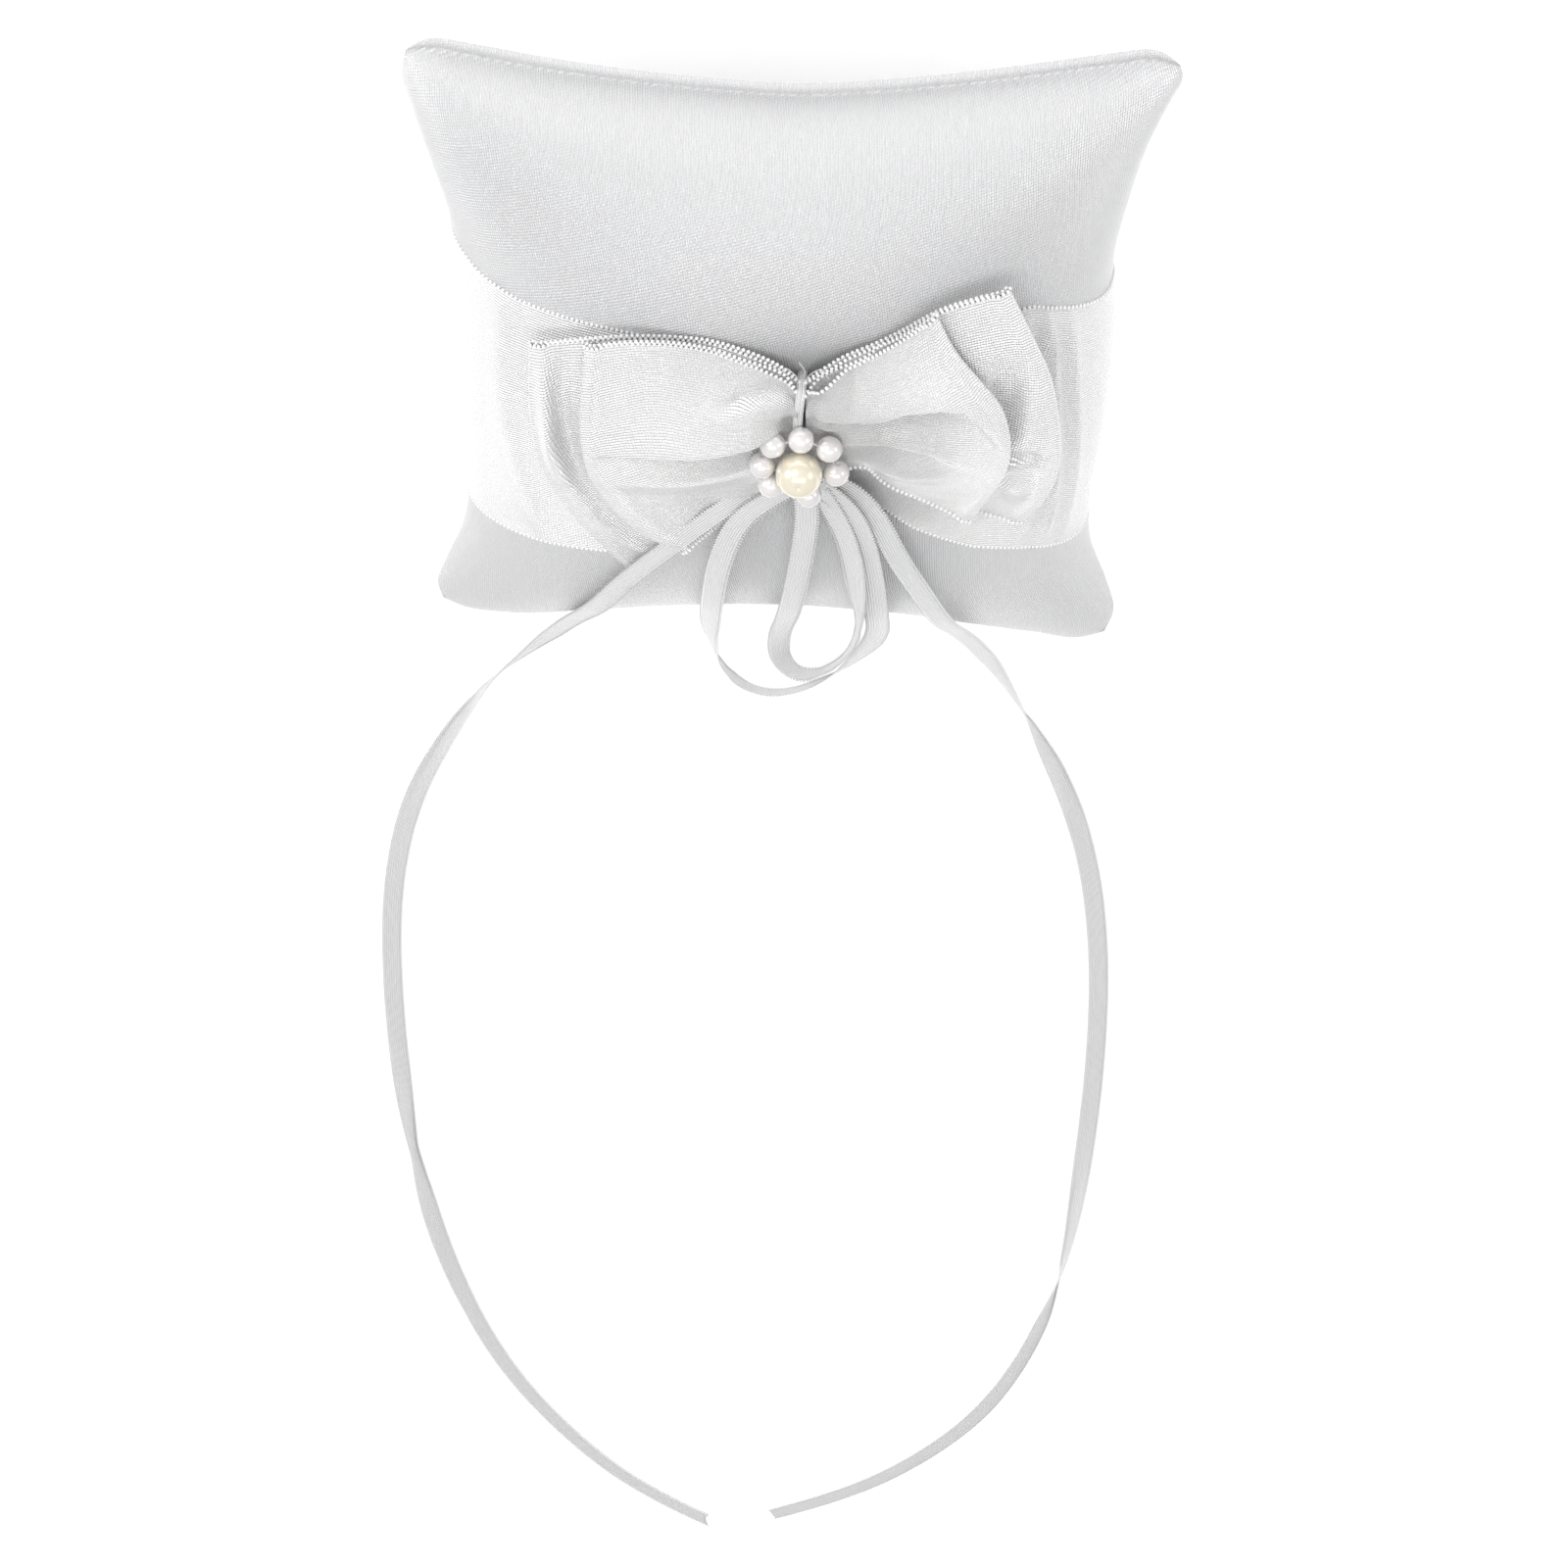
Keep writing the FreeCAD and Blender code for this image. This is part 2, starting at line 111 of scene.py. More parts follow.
def grid_patch(points, uv):
    """A grid of points as (points, faces, uv)."""
    rows, columns = points.shape[:2]
    r, c = np.meshgrid(np.arange(rows - 1), np.arange(columns - 1), indexing="ij")
    a = (r * columns + c).ravel()
    faces = np.stack([a, a + columns, a + columns + 1, a + 1], -1).tolist()
    return points.reshape(-1, 3), faces, uv.reshape(-1, 2)


def strip_patch(net, along, across):
    """A net of points as cloth; along and across are the flat places of its rows and columns."""
    return grid_patch(net, np.stack(np.meshgrid(along, across, indexing="ij"), -1))


def joined(patches):
    """Several (points, faces, uv) patches as one."""
    points, faces, uv, start = [], [], [], 0
    for some_points, some_faces, some_uv in patches:
        points.append(some_points)
        uv.append(some_uv)
        faces += [[k + start for k in face] for face in some_faces]
        start += len(some_points)
    return np.concatenate(points), faces, np.concatenate(uv)


def add_object(name, data):
    thing = bpy.data.objects.new(name, data)
    bpy.context.scene.collection.objects.link(thing)
    return thing


def add_piece(name, patch, material, node=None, subdivide=0):
    """Makes a patch a piece on the only body and, where it has one, in the place of a node."""
    points, faces, uv = patch
    mesh = bpy.data.meshes.new(name)
    mesh.from_pydata((points * MM).tolist(), [], faces)
    layer = mesh.uv_layers.new(name="cloth")
    corners = np.empty(len(mesh.loops), int)
    mesh.loops.foreach_get("vertex_index", corners)
    layer.data.foreach_set("uv", uv[corners].astype(float).ravel())
    mesh.materials.append(material)
    mesh.shade_smooth()
    piece = add_object(name, mesh)
    if subdivide:
        change = piece.modifiers.new("smooth", "SUBSURF")
        change.levels = change.render_levels = subdivide
        change.boundary_smooth = "PRESERVE_CORNERS"
        smooth = bpy.data.meshes.new_from_object(piece.evaluated_get(bpy.context.evaluated_depsgraph_get()))
        piece.modifiers.clear()
        piece.data = smooth
        smooth.shade_smooth()
    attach(piece, "root")
    if node:
        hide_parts(node)
    return piece


def bead_patch(centres, along, outward, upward, radii):
    """Squashed beads, each an octahedron divided once. Every bead has its own axes; radii are for all."""
    corners = np.array([(1, 0, 0), (-1, 0, 0), (0, 1, 0), (0, -1, 0), (0, 0, 1), (0, 0, -1)], float)
    ring = [(0, 2), (2, 1), (1, 3), (3, 0)]
    middles = [corners[a] + corners[b] for a, b in ring]
    middles += [corners[a] + corners[b] for b in (4, 5) for a in (0, 2, 1, 3)]
    ball = np.concatenate([corners, unit(np.array(middles))])
    faces = []
    for side, (a, b) in enumerate(ring):
        following = (side + 1) % 4
        for pole, first in ((4, 10), (5, 14)):
            low, high, mid = first + side, first + following, 6 + side
            small = [[a, mid, low], [mid, b, high], [low, high, pole], [low, mid, high]]
            faces += small if pole == 4 else [face[::-1] for face in small]
    axes = np.stack([along * radii[0], outward * radii[1], upward * radii[2]], 1)
    points = centres[:, None, :] + np.einsum("kj,njd->nkd", ball, axes)
    all_faces = [[k + len(ball) * n for k in face] for n in range(len(centres)) for face in faces]
    uv = np.stack([ball[:, 0] * radii[0], ball[:, 1] * radii[1] + ball[:, 2] * radii[2]], -1)
    return points.reshape(-1, 3), all_faces, np.tile(uv, (len(centres), 1))


def picot_patch(edge, inside, spacing):
    """Looped selvedge along an edge; inside is a line of points a little in from the edge."""
    count = max(2, int(arc_lengths(edge)[-1] / spacing))
    both = evenly(np.concatenate([edge, inside], 1), count)
    line, inner = both[:, :3], both[:, 3:]
    along = unit(np.gradient(line, axis=0))
    outward = line - inner
    outward = unit(outward - along * (outward * along).sum(-1, keepdims=True))
    upward = np.cross(along, outward)
    size = spacing / WIDE_PICOT
    radii = [radius * size for radius in PICOT_RADII]
    return bead_patch(line + outward * PICOT_OUT + upward * PICOT_UP, along, outward, upward, radii)


def selvedges(net, spacing):
    """The looped edges along both sides of a strip."""
    return [picot_patch(net[:, edge], net[:, inside], spacing) for edge, inside in ((0, 1), (-1, -2))]


def tube_patch(line, radius, sides=8):
    """A round thread along a line, closed at both ends."""
    along = unit(np.gradient(line, axis=0))
    first = unit(np.cross(along, np.array([0.31, 0.22, 0.93])))
    second = np.cross(along, first)
    angles = np.arange(sides) * TAU / sides
    ring = np.cos(angles)[:, None] * first[:, None] + np.sin(angles)[:, None] * second[:, None]
    rings = line[:, None] + radius * ring
    count = len(line)
    points = np.concatenate([rings.reshape(-1, 3), line[:1], line[-1:]])
    around = [(s, (s + 1) % sides) for s in range(sides)]
    faces = [[r * sides + s, r * sides + t, (r + 1) * sides + t, (r + 1) * sides + s]
             for r in range(count - 1) for s, t in around]
    for s, t in around:
        faces.append([t, s, count * sides])
        faces.append([(count - 1) * sides + s, (count - 1) * sides + t, count * sides + 1])
    return points, faces, np.zeros((len(points), 2))


def stitch_patch(line, gauge, upward=(0, 0, 1)):
    """A row of running stitches: each is a thread that rises out of the cloth and dives back in.
    gauge is (spacing of the stitches, length of one, radius of the thread)."""
    pitch, length, radius = gauge
    total = arc_lengths(line)[-1]
    dense = evenly(line, int(total / 0.1) + 2)
    share = np.linspace(0, 1, 7)
    hump = radius * (1.6 * np.sin(share * math.pi) ** 0.6 - 1.0)
    patches = []
    for k in range(int(total / pitch)):
        first = int((k * pitch + 0.5 * (pitch - length)) / total * (len(dense) - 1))
        last = int(((k + 0.5) * pitch + 0.5 * length) / total * (len(dense) - 1))
        places = np.round(first + (last - first) * share).astype(int)
        patches.append(tube_patch(dense[places] + hump[:, None] * np.array(upward), radius, 6))
    return joined(patches)


# ---------------- camera, light and floor

CAMERA_PLACE = (7.12, 346.46, 407.12)
CAMERA_TOWARDS = (-0.00909, -0.74290, -0.66934)
CAMERA_UP = (-0.04297, 0.66904, -0.74198)
FOCAL_LENGTH, SENSOR_WIDTH = 87.75, 36.0
LIT_PLACE = (0.0, 0.0, 0.02)  # the point that the softboxes face, in metres
# Each softbox has its place and its (width, height) in metres, and its power in watts.
SOFTBOXES = {"softbox_left": ((-0.72, 0.30, 0.38), (0.40, 0.36), 1.25),
             "softbox_right": ((0.76, 0.30, 0.38), (0.36, 0.36), 0.5),
             "softbox_top": ((0.0, 0.22, 0.88), (0.9, 0.16), 3.7),
             "softbox_front": ((-0.38, 0.70, 0.60), (0.5, 0.35), 1.3)}
STUDIO_GLOW = 0.68  # strength of the white studio all round
FLOOR_GLOW = 0.32  # the white table shines a little itself, as an overexposed one does
FLOOR_REACH = 3.0  # metres from the middle to the table's sides


def add_camera():
    camera = add_object("camera", bpy.data.cameras.new("camera"))
    camera.data.lens = FOCAL_LENGTH
    camera.data.sensor_width = SENSOR_WIDTH
    camera.data.clip_start = 0.01
    towards = Vector(CAMERA_TOWARDS).normalized()
    right = towards.cross(Vector(CAMERA_UP)).normalized()
    up = right.cross(towards)
    axes = Matrix((right, up, -towards)).transposed().to_4x4()
    camera.matrix_world = Matrix.Translation(Vector(CAMERA_PLACE) * MM) @ axes
    bpy.context.scene.camera = camera


def add_studio():
    scene = bpy.context.scene
    scene.view_settings.view_transform = "Standard"
    world = bpy.data.worlds.new("studio")
    world.use_nodes = True
    set_inputs(world.node_tree.nodes["Background"], {"Color": (1, 1, 1, 1), "Strength": STUDIO_GLOW})
    scene.world = world
    for name, (place, size, power) in SOFTBOXES.items():
        light = bpy.data.lights.new(name, "AREA")
        light.shape = "RECTANGLE"
        light.size, light.size_y = size
        light.energy = power
        lamp = add_object(name, light)
        lamp.location = place
        lamp.rotation_euler = (Vector(LIT_PLACE) - Vector(place)).to_track_quat("-Z", "Y").to_euler()


def add_floor():
    corners = [(x * FLOOR_REACH, y * FLOOR_REACH, 0) for x, y in ((-1, -1), (1, -1), (1, 1), (-1, 1))]
    mesh = bpy.data.meshes.new("floor")
    mesh.from_pydata(corners, [], [(0, 1, 2, 3)])
    mesh.materials.append(floor_material())
    add_object("floor", mesh)


# ---------------- materials

WANDER = 0.35  # how far a warp line strays, as a share of the lines' spacing
STAGGER = 0.38  # how far each line's floats are shifted along from the next line's
FLOAT_END_DEPTH = 0.9  # how deep a float dives at its ends, against the height of a line
FUZZ_DEPTH = 0.8  # height of the loose fibres, against the height of a line
PAINTED_GROOVE_SHADE = 0.88  # brightness of the grooves between the lines: painted shade, the colour darkened where the lines dip


def new_material(name):
    material = bpy.data.materials.new(name)
    material.use_nodes = True
    tree = material.node_tree
    return material, tree, tree.nodes["Principled BSDF"]


def set_inputs(node, values):
    for name, value in values.items():
        node.inputs[name].default_value = value


def floor_material():
    material, _, shader = new_material("floor_white")
    set_inputs(shader, {"Base Color": (0.9, 0.9, 0.9, 1), "Roughness": 0.9, "Specular IOR Level": 0.0,
                        "Emission Color": (1, 1, 1, 1), "Emission Strength": FLOOR_GLOW})
    return material


def calc(tree, operation, first, second=None, third=None, clamp=False):
    node = tree.nodes.new("ShaderNodeMath")
    node.operation = operation
    node.use_clamp = clamp
    for socket, value in zip(node.inputs, (first, second, third)):
        if isinstance(value, (int, float)):
            socket.default_value = value
        elif value is not None:
            tree.links.new(value, socket)
    return node.outputs[0]


def noise_value(tree, vector, scale, detail=2.0):
    node = tree.nodes.new("ShaderNodeTexNoise")
    set_inputs(node, {"Scale": scale, "Detail": detail})
    tree.links.new(vector, node.inputs["Vector"])
    return node.outputs["Fac"]


def object_noise(tree, scale, detail=2.0):
    coordinates = tree.nodes.new("ShaderNodeTexCoord")
    return noise_value(tree, coordinates.outputs["Object"], scale, detail)


def dent(tree, shader, height, distance):
    """Gives a surface relief; distance is its depth in millimetres."""
    bump = tree.nodes.new("ShaderNodeBump")
    bump.inputs["Distance"].default_value = distance * MM
    tree.links.new(height, bump.inputs["Height"])
    tree.links.new(bump.outputs["Normal"], shader.inputs["Normal"])


def blend(tree, shader, share, dark, light):
    """Colours a surface between two colours."""
    mix = tree.nodes.new("ShaderNodeMixRGB")
    mix.inputs[1].default_value = (*dark, 1)
    mix.inputs[2].default_value = (*light, 1)
    tree.links.new(share, mix.inputs[0])
    tree.links.new(mix.outputs[0], shader.inputs["Base Color"])


def woven(name, colour, rough, spacing, tilt, height, twist, anisotropy, gloss):
    """Satin cloth. The UV is in millimetres of flat cloth: u along the ribbon or up the cover, v across.
    spacing is that of the warp lines, tilt how far they lean, height their relief and twist the length of
    one float, the stretch that a warp thread lies on top."""
    material, tree, shader = new_material(name)
    nodes, links = tree.nodes, tree.links
    uv = nodes.new("ShaderNodeUVMap")
    uv.uv_map = "cloth"
    parts = nodes.new("ShaderNodeSeparateXYZ")
    links.new(uv.outputs["UV"], parts.inputs[0])
    u, v = parts.outputs[0], parts.outputs[1]
    wander = calc(tree, "MULTIPLY", noise_value(tree, uv.outputs["UV"], 0.9), WANDER * spacing)
    across = calc(tree, "ADD", v, calc(tree, "MULTIPLY_ADD", u, tilt, wander))
    line = calc(tree, "SINE", calc(tree, "MULTIPLY", across, TAU / spacing))
    row = calc(tree, "FLOOR", calc(tree, "DIVIDE", across, spacing))
    stagger = calc(tree, "MULTIPLY", row, STAGGER * TAU)
    step = calc(tree, "ADD", calc(tree, "MULTIPLY", u, TAU / twist), stagger)
    float_end = calc(tree, "POWER", calc(tree, "ABSOLUTE", calc(tree, "SINE", step)), 6.0)
    relief = calc(tree, "SUBTRACT", line, calc(tree, "MULTIPLY", float_end, FLOAT_END_DEPTH))
    fuzz = noise_value(tree, uv.outputs["UV"], 7.0, 3.0)
    relief = calc(tree, "ADD", relief, calc(tree, "MULTIPLY", fuzz, FUZZ_DEPTH))
    dent(tree, shader, relief, height)
    tangent = nodes.new("ShaderNodeTangent")
    tangent.direction_type = "UV_MAP"
    tangent.uv_map = "cloth"
    links.new(tangent.outputs["Tangent"], shader.inputs["Tangent"])
    # painted shade: the colour is darker in the grooves between the warp lines, as if shaded there
    groove_shade_share = calc(tree, "MULTIPLY_ADD", line, 0.3, 0.6, clamp=True)
    blend(tree, shader, groove_shade_share, [PAINTED_GROOVE_SHADE * c for c in colour], colour)
    links.new(calc(tree, "MULTIPLY_ADD", fuzz, 0.12, rough), shader.inputs["Roughness"])
    set_inputs(shader, {"Metallic": gloss, "Anisotropic": anisotropy, "Anisotropic Rotation": 0.25,
                        "Specular IOR Level": 0.55, "Sheen Weight": 0.15, "Sheen Roughness": 0.4})
    return material


def thread_material():
    material, tree, shader = new_material("sewing_thread")
    fibres = object_noise(tree, 9000.0)
    dent(tree, shader, fibres, 0.03)
    blend(tree, shader, fibres, (0.5, 0.5, 0.5), (0.74, 0.73, 0.73))
    set_inputs(shader, {"Roughness": 0.6, "Sheen Weight": 0.3})
    return material


def fibre_material():
    material, tree, shader = new_material("loose_fibre")
    dent(tree, shader, object_noise(tree, 900.0, 6.0), 0.8)
    set_inputs(shader, {"Base Color": (0.9, 0.9, 0.89, 1), "Roughness": 0.95, "Sheen Weight": 0.5})
    return material


def pearl_material(name, deep, light):
    """Imitation pearl: a milky body with faint clouds under a clear lacquer."""
    material, tree, shader = new_material(name)
    blend(tree, shader, object_noise(tree, 420.0, 3.0), deep, light)
    set_inputs(shader, {"Roughness": 0.22, "Metallic": 0.35, "Coat Weight": 1.0, "Coat Roughness": 0.05,
                        "Coat IOR": 1.6, "Sheen Weight": 0.25})
    return material


def nylon_material():
    material, tree, shader = new_material("clear_nylon")
    streaks = object_noise(tree, 3000.0)
    tree.links.new(calc(tree, "MULTIPLY_ADD", streaks, 0.1, 0.12), shader.inputs["Roughness"])
    set_inputs(shader, {"Base Color": (0.95, 0.95, 0.95, 1), "Transmission Weight": 0.6, "IOR": 1.5})
    return material


# ---------------- narrow ribbon: loops and tails

# The lines of the loops and tails as (x, y, z). Each starts under the pearls, and the loops end there too.
LOOP_LARGE = [
    (1.6, -5.2, 37.4), (-1.4, -8, 36.9), (-5.4, -12.4, 36.7), (-7.8, -20.5, 36.3), (-8.9, -31.5, 33.4),
    (-9.4, -43.5, 25), (-9.9, -54.5, 16.2), (-9.9, -65, 8.6), (-9, -74, 3.6), (-6.2, -80.8, 1.4),
    (-1.2, -83.4, 1.2), (4.6, -81.6, 1.2), (9.6, -76.4, 2.6), (12.8, -67.4, 7.2), (14.4, -55.8, 15.4),
    (14.7, -44.4, 24.2), (14.2, -33.4, 33), (13.4, -23.6, 36), (11.6, -13.8, 36.8), (8.6, -7.6, 37),
    (5.2, -4.6, 37.4)]
LOOP_SMALL = [
    (3.4, -5.4, 37.2), (4.2, -9.4, 37.1), (3.6, -17.5, 36.9), (2.6, -27.5, 35.2), (1.6, -38, 29.6),
    (0.9, -48.5, 20.6), (0.4, -58.5, 12.8), (0.2, -66.5, 7.2), (0.5, -72.2, 3.8), (1.7, -75.9, 2.4),
    (3.4, -77.9, 2), (5.6, -77.8, 2), (7.6, -75.8, 2.6), (9.4, -71.8, 4.8), (10.7, -65.4, 8.6),
    (11.4, -57.5, 14), (11.7, -49, 20.6), (11.6, -39, 29), (11.3, -28.5, 34.8), (10.5, -19.2, 36.5),
    (8.4, -11.4, 36.8), (5.4, -5.6, 37.2)]
TAIL_LEFT = [
    (0.4, -5, 35.8), (-4.2, -7.6, 36.2), (-9.4, -12.6, 36.4), (-15.4, -20, 35.6), (-20.6, -28.4, 32.6),
    (-25.2, -38.6, 28.3), (-29.2, -48.6, 20.8), (-33, -59.4, 13.2), (-37.6, -70.6, 6.4), (-44, -82, 1.8),
    (-51.6, -96, 0.9), (-58.4, -113, 0.5), (-62.4, -134, 0.5), (-63.8, -159, 0.5), (-63.4, -188, 1.2),
    (-61.4, -217, 1.3), (-56.8, -247, 0.5), (-48, -277, 0.5), (-34, -303, 0.5), (-20, -320, 0.5),
    (-8, -329, 0.5)]
TAIL_RIGHT = [
    (5.8, -4.6, 35.8), (9.6, -6.2, 35.8), (13.2, -10.6, 36.2), (16.4, -18.4, 36.2), (20.2, -27.6, 33.8),
    (23.6, -37.6, 29.6), (26.9, -48.2, 21), (30.2, -59.2, 13.4), (33.8, -71.4, 6.4), (38.6, -85.4, 1.8),
    (45.8, -101, 0.9), (51.6, -121, 0.5), (55.2, -145, 0.5), (56.8, -172, 0.5), (57, -201, 0.6),
    (56, -230, 1.6), (52.6, -258, 0.6), (45, -283, 0.5), (33, -302, 0.5), (18, -317, 0.5), (4, -325, 0.5)]

# How far the ribbon is rolled about its own line, as (share of the length, degrees).
ROLL_LARGE = [
    (0, 10), (0.12, -18), (0.24, -26), (0.34, -46), (0.40, -68), (0.46, -76), (0.53, -64), (0.57, -44),
    (0.62, -18), (0.67, -2), (0.76, 4), (0.88, 6), (1, 0)]
ROLL_SMALL = [
    (0, 0), (0.15, 8), (0.32, 10), (0.42, 14), (0.47, 60), (0.51, 118), (0.57, 112), (0.66, 92),
    (0.80, 76), (0.9, 24), (1, 10)]
ROLL_LEFT = [
    (0, 0), (0.12, 4), (0.20, 14), (0.262, 60), (0.31, 122), (0.37, 170), (0.48, 182), (0.56, 205),
    (0.62, 256), (0.68, 205), (0.76, 182), (0.9, 180), (1, 184)]
ROLL_RIGHT = [
    (0, 0), (0.1, -6), (0.20, -12), (0.262, -60), (0.305, -130), (0.36, -174), (0.52, -180), (0.60, -196),
    (0.685, -262), (0.745, -330), (0.83, -356), (1, -360)]

RIBBON_STEP = 0.55  # spacing of the points along a ribbon
ROLL_ROUNDS = 12  # how many times the roll is smoothed
CUPPING = 0.10  # how far the ribbon's middle stands above its edges
CUT_POINTS = 4.0  # points over which a slanted end is cut
RIBBON_REST = 0.25  # lowest that the ribbon's cloth lies above the table


def route_line(name, points):
    """The smooth line of a route, in millimetres."""
    curve = bpy.data.curves.new(name + "_guide", "CURVE")
    curve.dimensions = "3D"
    curve.resolution_u = 16
    spline = curve.splines.new("NURBS")
    spline.points.add(len(points) - 1)
    for control, place in zip(spline.points, points):
        control.co = (place[0] * MM, place[1] * MM, place[2] * MM, 1)
    spline.order_u = 3
    spline.use_endpoint_u = True
    guide = add_object(name + "_guide", curve)
    mesh = bpy.data.meshes.new_from_object(guide)
    line = np.array([vertex.co for vertex in mesh.vertices]) / MM
    bpy.data.objects.remove(guide)
    bpy.data.curves.remove(curve)
    bpy.data.meshes.remove(mesh)
    return line


def ribbon_patch(line, roll, cut):
    """A flat ribbon along a line, rolled about it, with looped edges. cut slants its far end."""
    count = int(arc_lengths(line)[-1] / RIBBON_STEP)
    line = evenly(line, count)
    share = np.linspace(0, 1, count)
    angle = np.radians(np.interp(share, *zip(*roll)))
    for _ in range(ROLL_ROUNDS):
        angle[1:-1] = (angle[:-2] + 2 * angle[1:-1] + angle[2:]) / 4
    along = unit(np.gradient(line, axis=0))
    level = unit(np.cross(along, np.array([0.0, 0.0, 1.0])))
    rising = np.cross(level, along)
    side = np.cos(angle)[:, None] * level + np.sin(angle)[:, None] * rising
    face = np.cross(side, along)
    strip = NARROW_RIBBON - SELVEDGE
    offset = np.linspace(-0.5, 0.5, 9)
    points = line[:, None] + side[:, None] * (offset * strip)[:, None]
    points = points + face[:, None] * (CUPPING * (1 - (2 * offset) ** 2))[:, None]
    end = smooth_step((share - (1 - CUT_POINTS / count)) * count / CUT_POINTS)
    slant = end[:, None] * cut * (offset + 0.5)
    points = points - along[:, None] * slant[..., None]
    points[..., 2] = np.maximum(points[..., 2], RIBBON_REST)
    cloth = strip_patch(points, share * arc_lengths(line)[-1], offset * strip)
    return joined([cloth] + selvedges(points, NARROW_PICOT))


def add_narrow_ribbon(name, points, roll, material, cut=0.0):
    line = route_line(name, points)
    piece = add_piece(name, ribbon_patch(line, roll, cut), material, f"ribbon_{name}")


# ---------------- the cushion

CELLS = 84  # cells of the panel's net along each side
PANEL = 101.0  # side of a panel's flat cloth between its seams
SEAM_HEIGHT = 17.0  # height of the seam above the table
HALF_WIDTH, HALF_HEIGHT = 43.5, 44.5  # from the middle to the sides where they curve in most
FRONT_ARC, BACK_ARC = 19.5, 18.0  # height of the arcs that the cells are spaced along
FRONT_RISE, BACK_RISE = 20.0, 18.5  # from the seam to the crown of each side
EASE = 0.2  # how much of the flat cloth's length shows as slack
BOW_X, BOW_Y = 2.8, 1.0  # where the bow is tacked down
TACK_DEPTH = 6.5  # how deep the tack draws the front in, and how wide
TACK_WIDTH = 9.5
BACK_FLAT = 1.5  # below this height the back is pressed flat by the table
CLOTH_REST = 0.55  # how high the back lies, with the sash under it
SATIN_STIFFNESS = (0.6, 0.03, 0.4, 0.35)
FILL_SHARE = 0.93  # size of the loose fibre against the cover
LIP = [(0.35, 0.42), (0.9, 0.62), (1.4, 0.45), (1.75, 0.0)]  # the top edge's lip, as (outwards, upwards)
CLOSING_GAUGE = (3.4, 2.4, 0.16)  # spacing, length and radius of the stitches
SEAM_GAUGE = (2.2, 1.8, 0.1)
SASH_GAUGE = (3.0, 2.2, 0.12)

# The sewn edge as four lines of (x, y, z), each from left to right or from bottom to top.
SEAM_TOP = [
    (-49, 48.8, 17), (-46.6, 49.4, 17), (-40.6, 48.5, 17), (-30.4, 46.7, 17), (-20, 45.4, 17),
    (-10, 44.7, 17), (0.2, 44.4, 17), (10.4, 45.4, 17), (20.5, 47, 17), (30.5, 49, 17), (40.4, 51.2, 17),
    (45.6, 52.2, 17), (48.6, 51.4, 17)]
SEAM_BOTTOM = [
    (-48.6, -49.4, 16.8), (-46.2, -50.9, 16.8), (-38.6, -51.3, 16.8), (-28, -49.2, 16.6),
    (-14, -46.6, 16.2), (0, -45.4, 16), (15, -46.4, 16.2), (29, -49.2, 16.6), (37.6, -51, 16.8),
    (44, -52, 17), (47.6, -50.4, 17)]
SEAM_LEFT = [
    (-48.6, -49.4, 16.8), (-49.3, -46.6, 16.8), (-47.8, -41.3, 16.8), (-45, -33.5, 17), (-43.8, -25, 17),
    (-43.8, -12, 17), (-44.3, 5, 17), (-44, 19, 17), (-45.1, 26.4, 17), (-46.9, 33, 17),
    (-48.7, 39.6, 17), (-49.7, 45.6, 17), (-49, 48.8, 17)]
SEAM_RIGHT = [
    (47.6, -50.4, 17), (48.6, -46.6, 17), (46.9, -39.4, 17), (44.3, -32.6, 17), (43.2, -21, 17),
    (44, -9, 17), (43.8, 10, 17), (43, 21, 17), (44.3, 31, 17), (46.1, 40, 17), (48.2, 46.4, 17),
    (49.2, 49.8, 17), (48.6, 51.4, 17)]


def even_angles(share, reach, rise):
    """Angles on a quarter of an ellipse that divide its arc evenly."""
    angle = np.linspace(0, math.pi / 2, 61)
    rises = np.broadcast_to(rise, share.shape).ravel()[:, None]
    speed = np.hypot(reach * np.cos(angle), rises * np.sin(angle))
    arc = np.concatenate([np.zeros((len(speed), 1)), np.cumsum((speed[:, 1:] + speed[:, :-1]) / 2, 1)], 1)
    arc /= arc[:, -1:]
    found = [np.interp(abs(s), a, angle) for s, a in zip(share.ravel(), arc)]
    return (np.sign(share.ravel()) * found).reshape(share.shape)


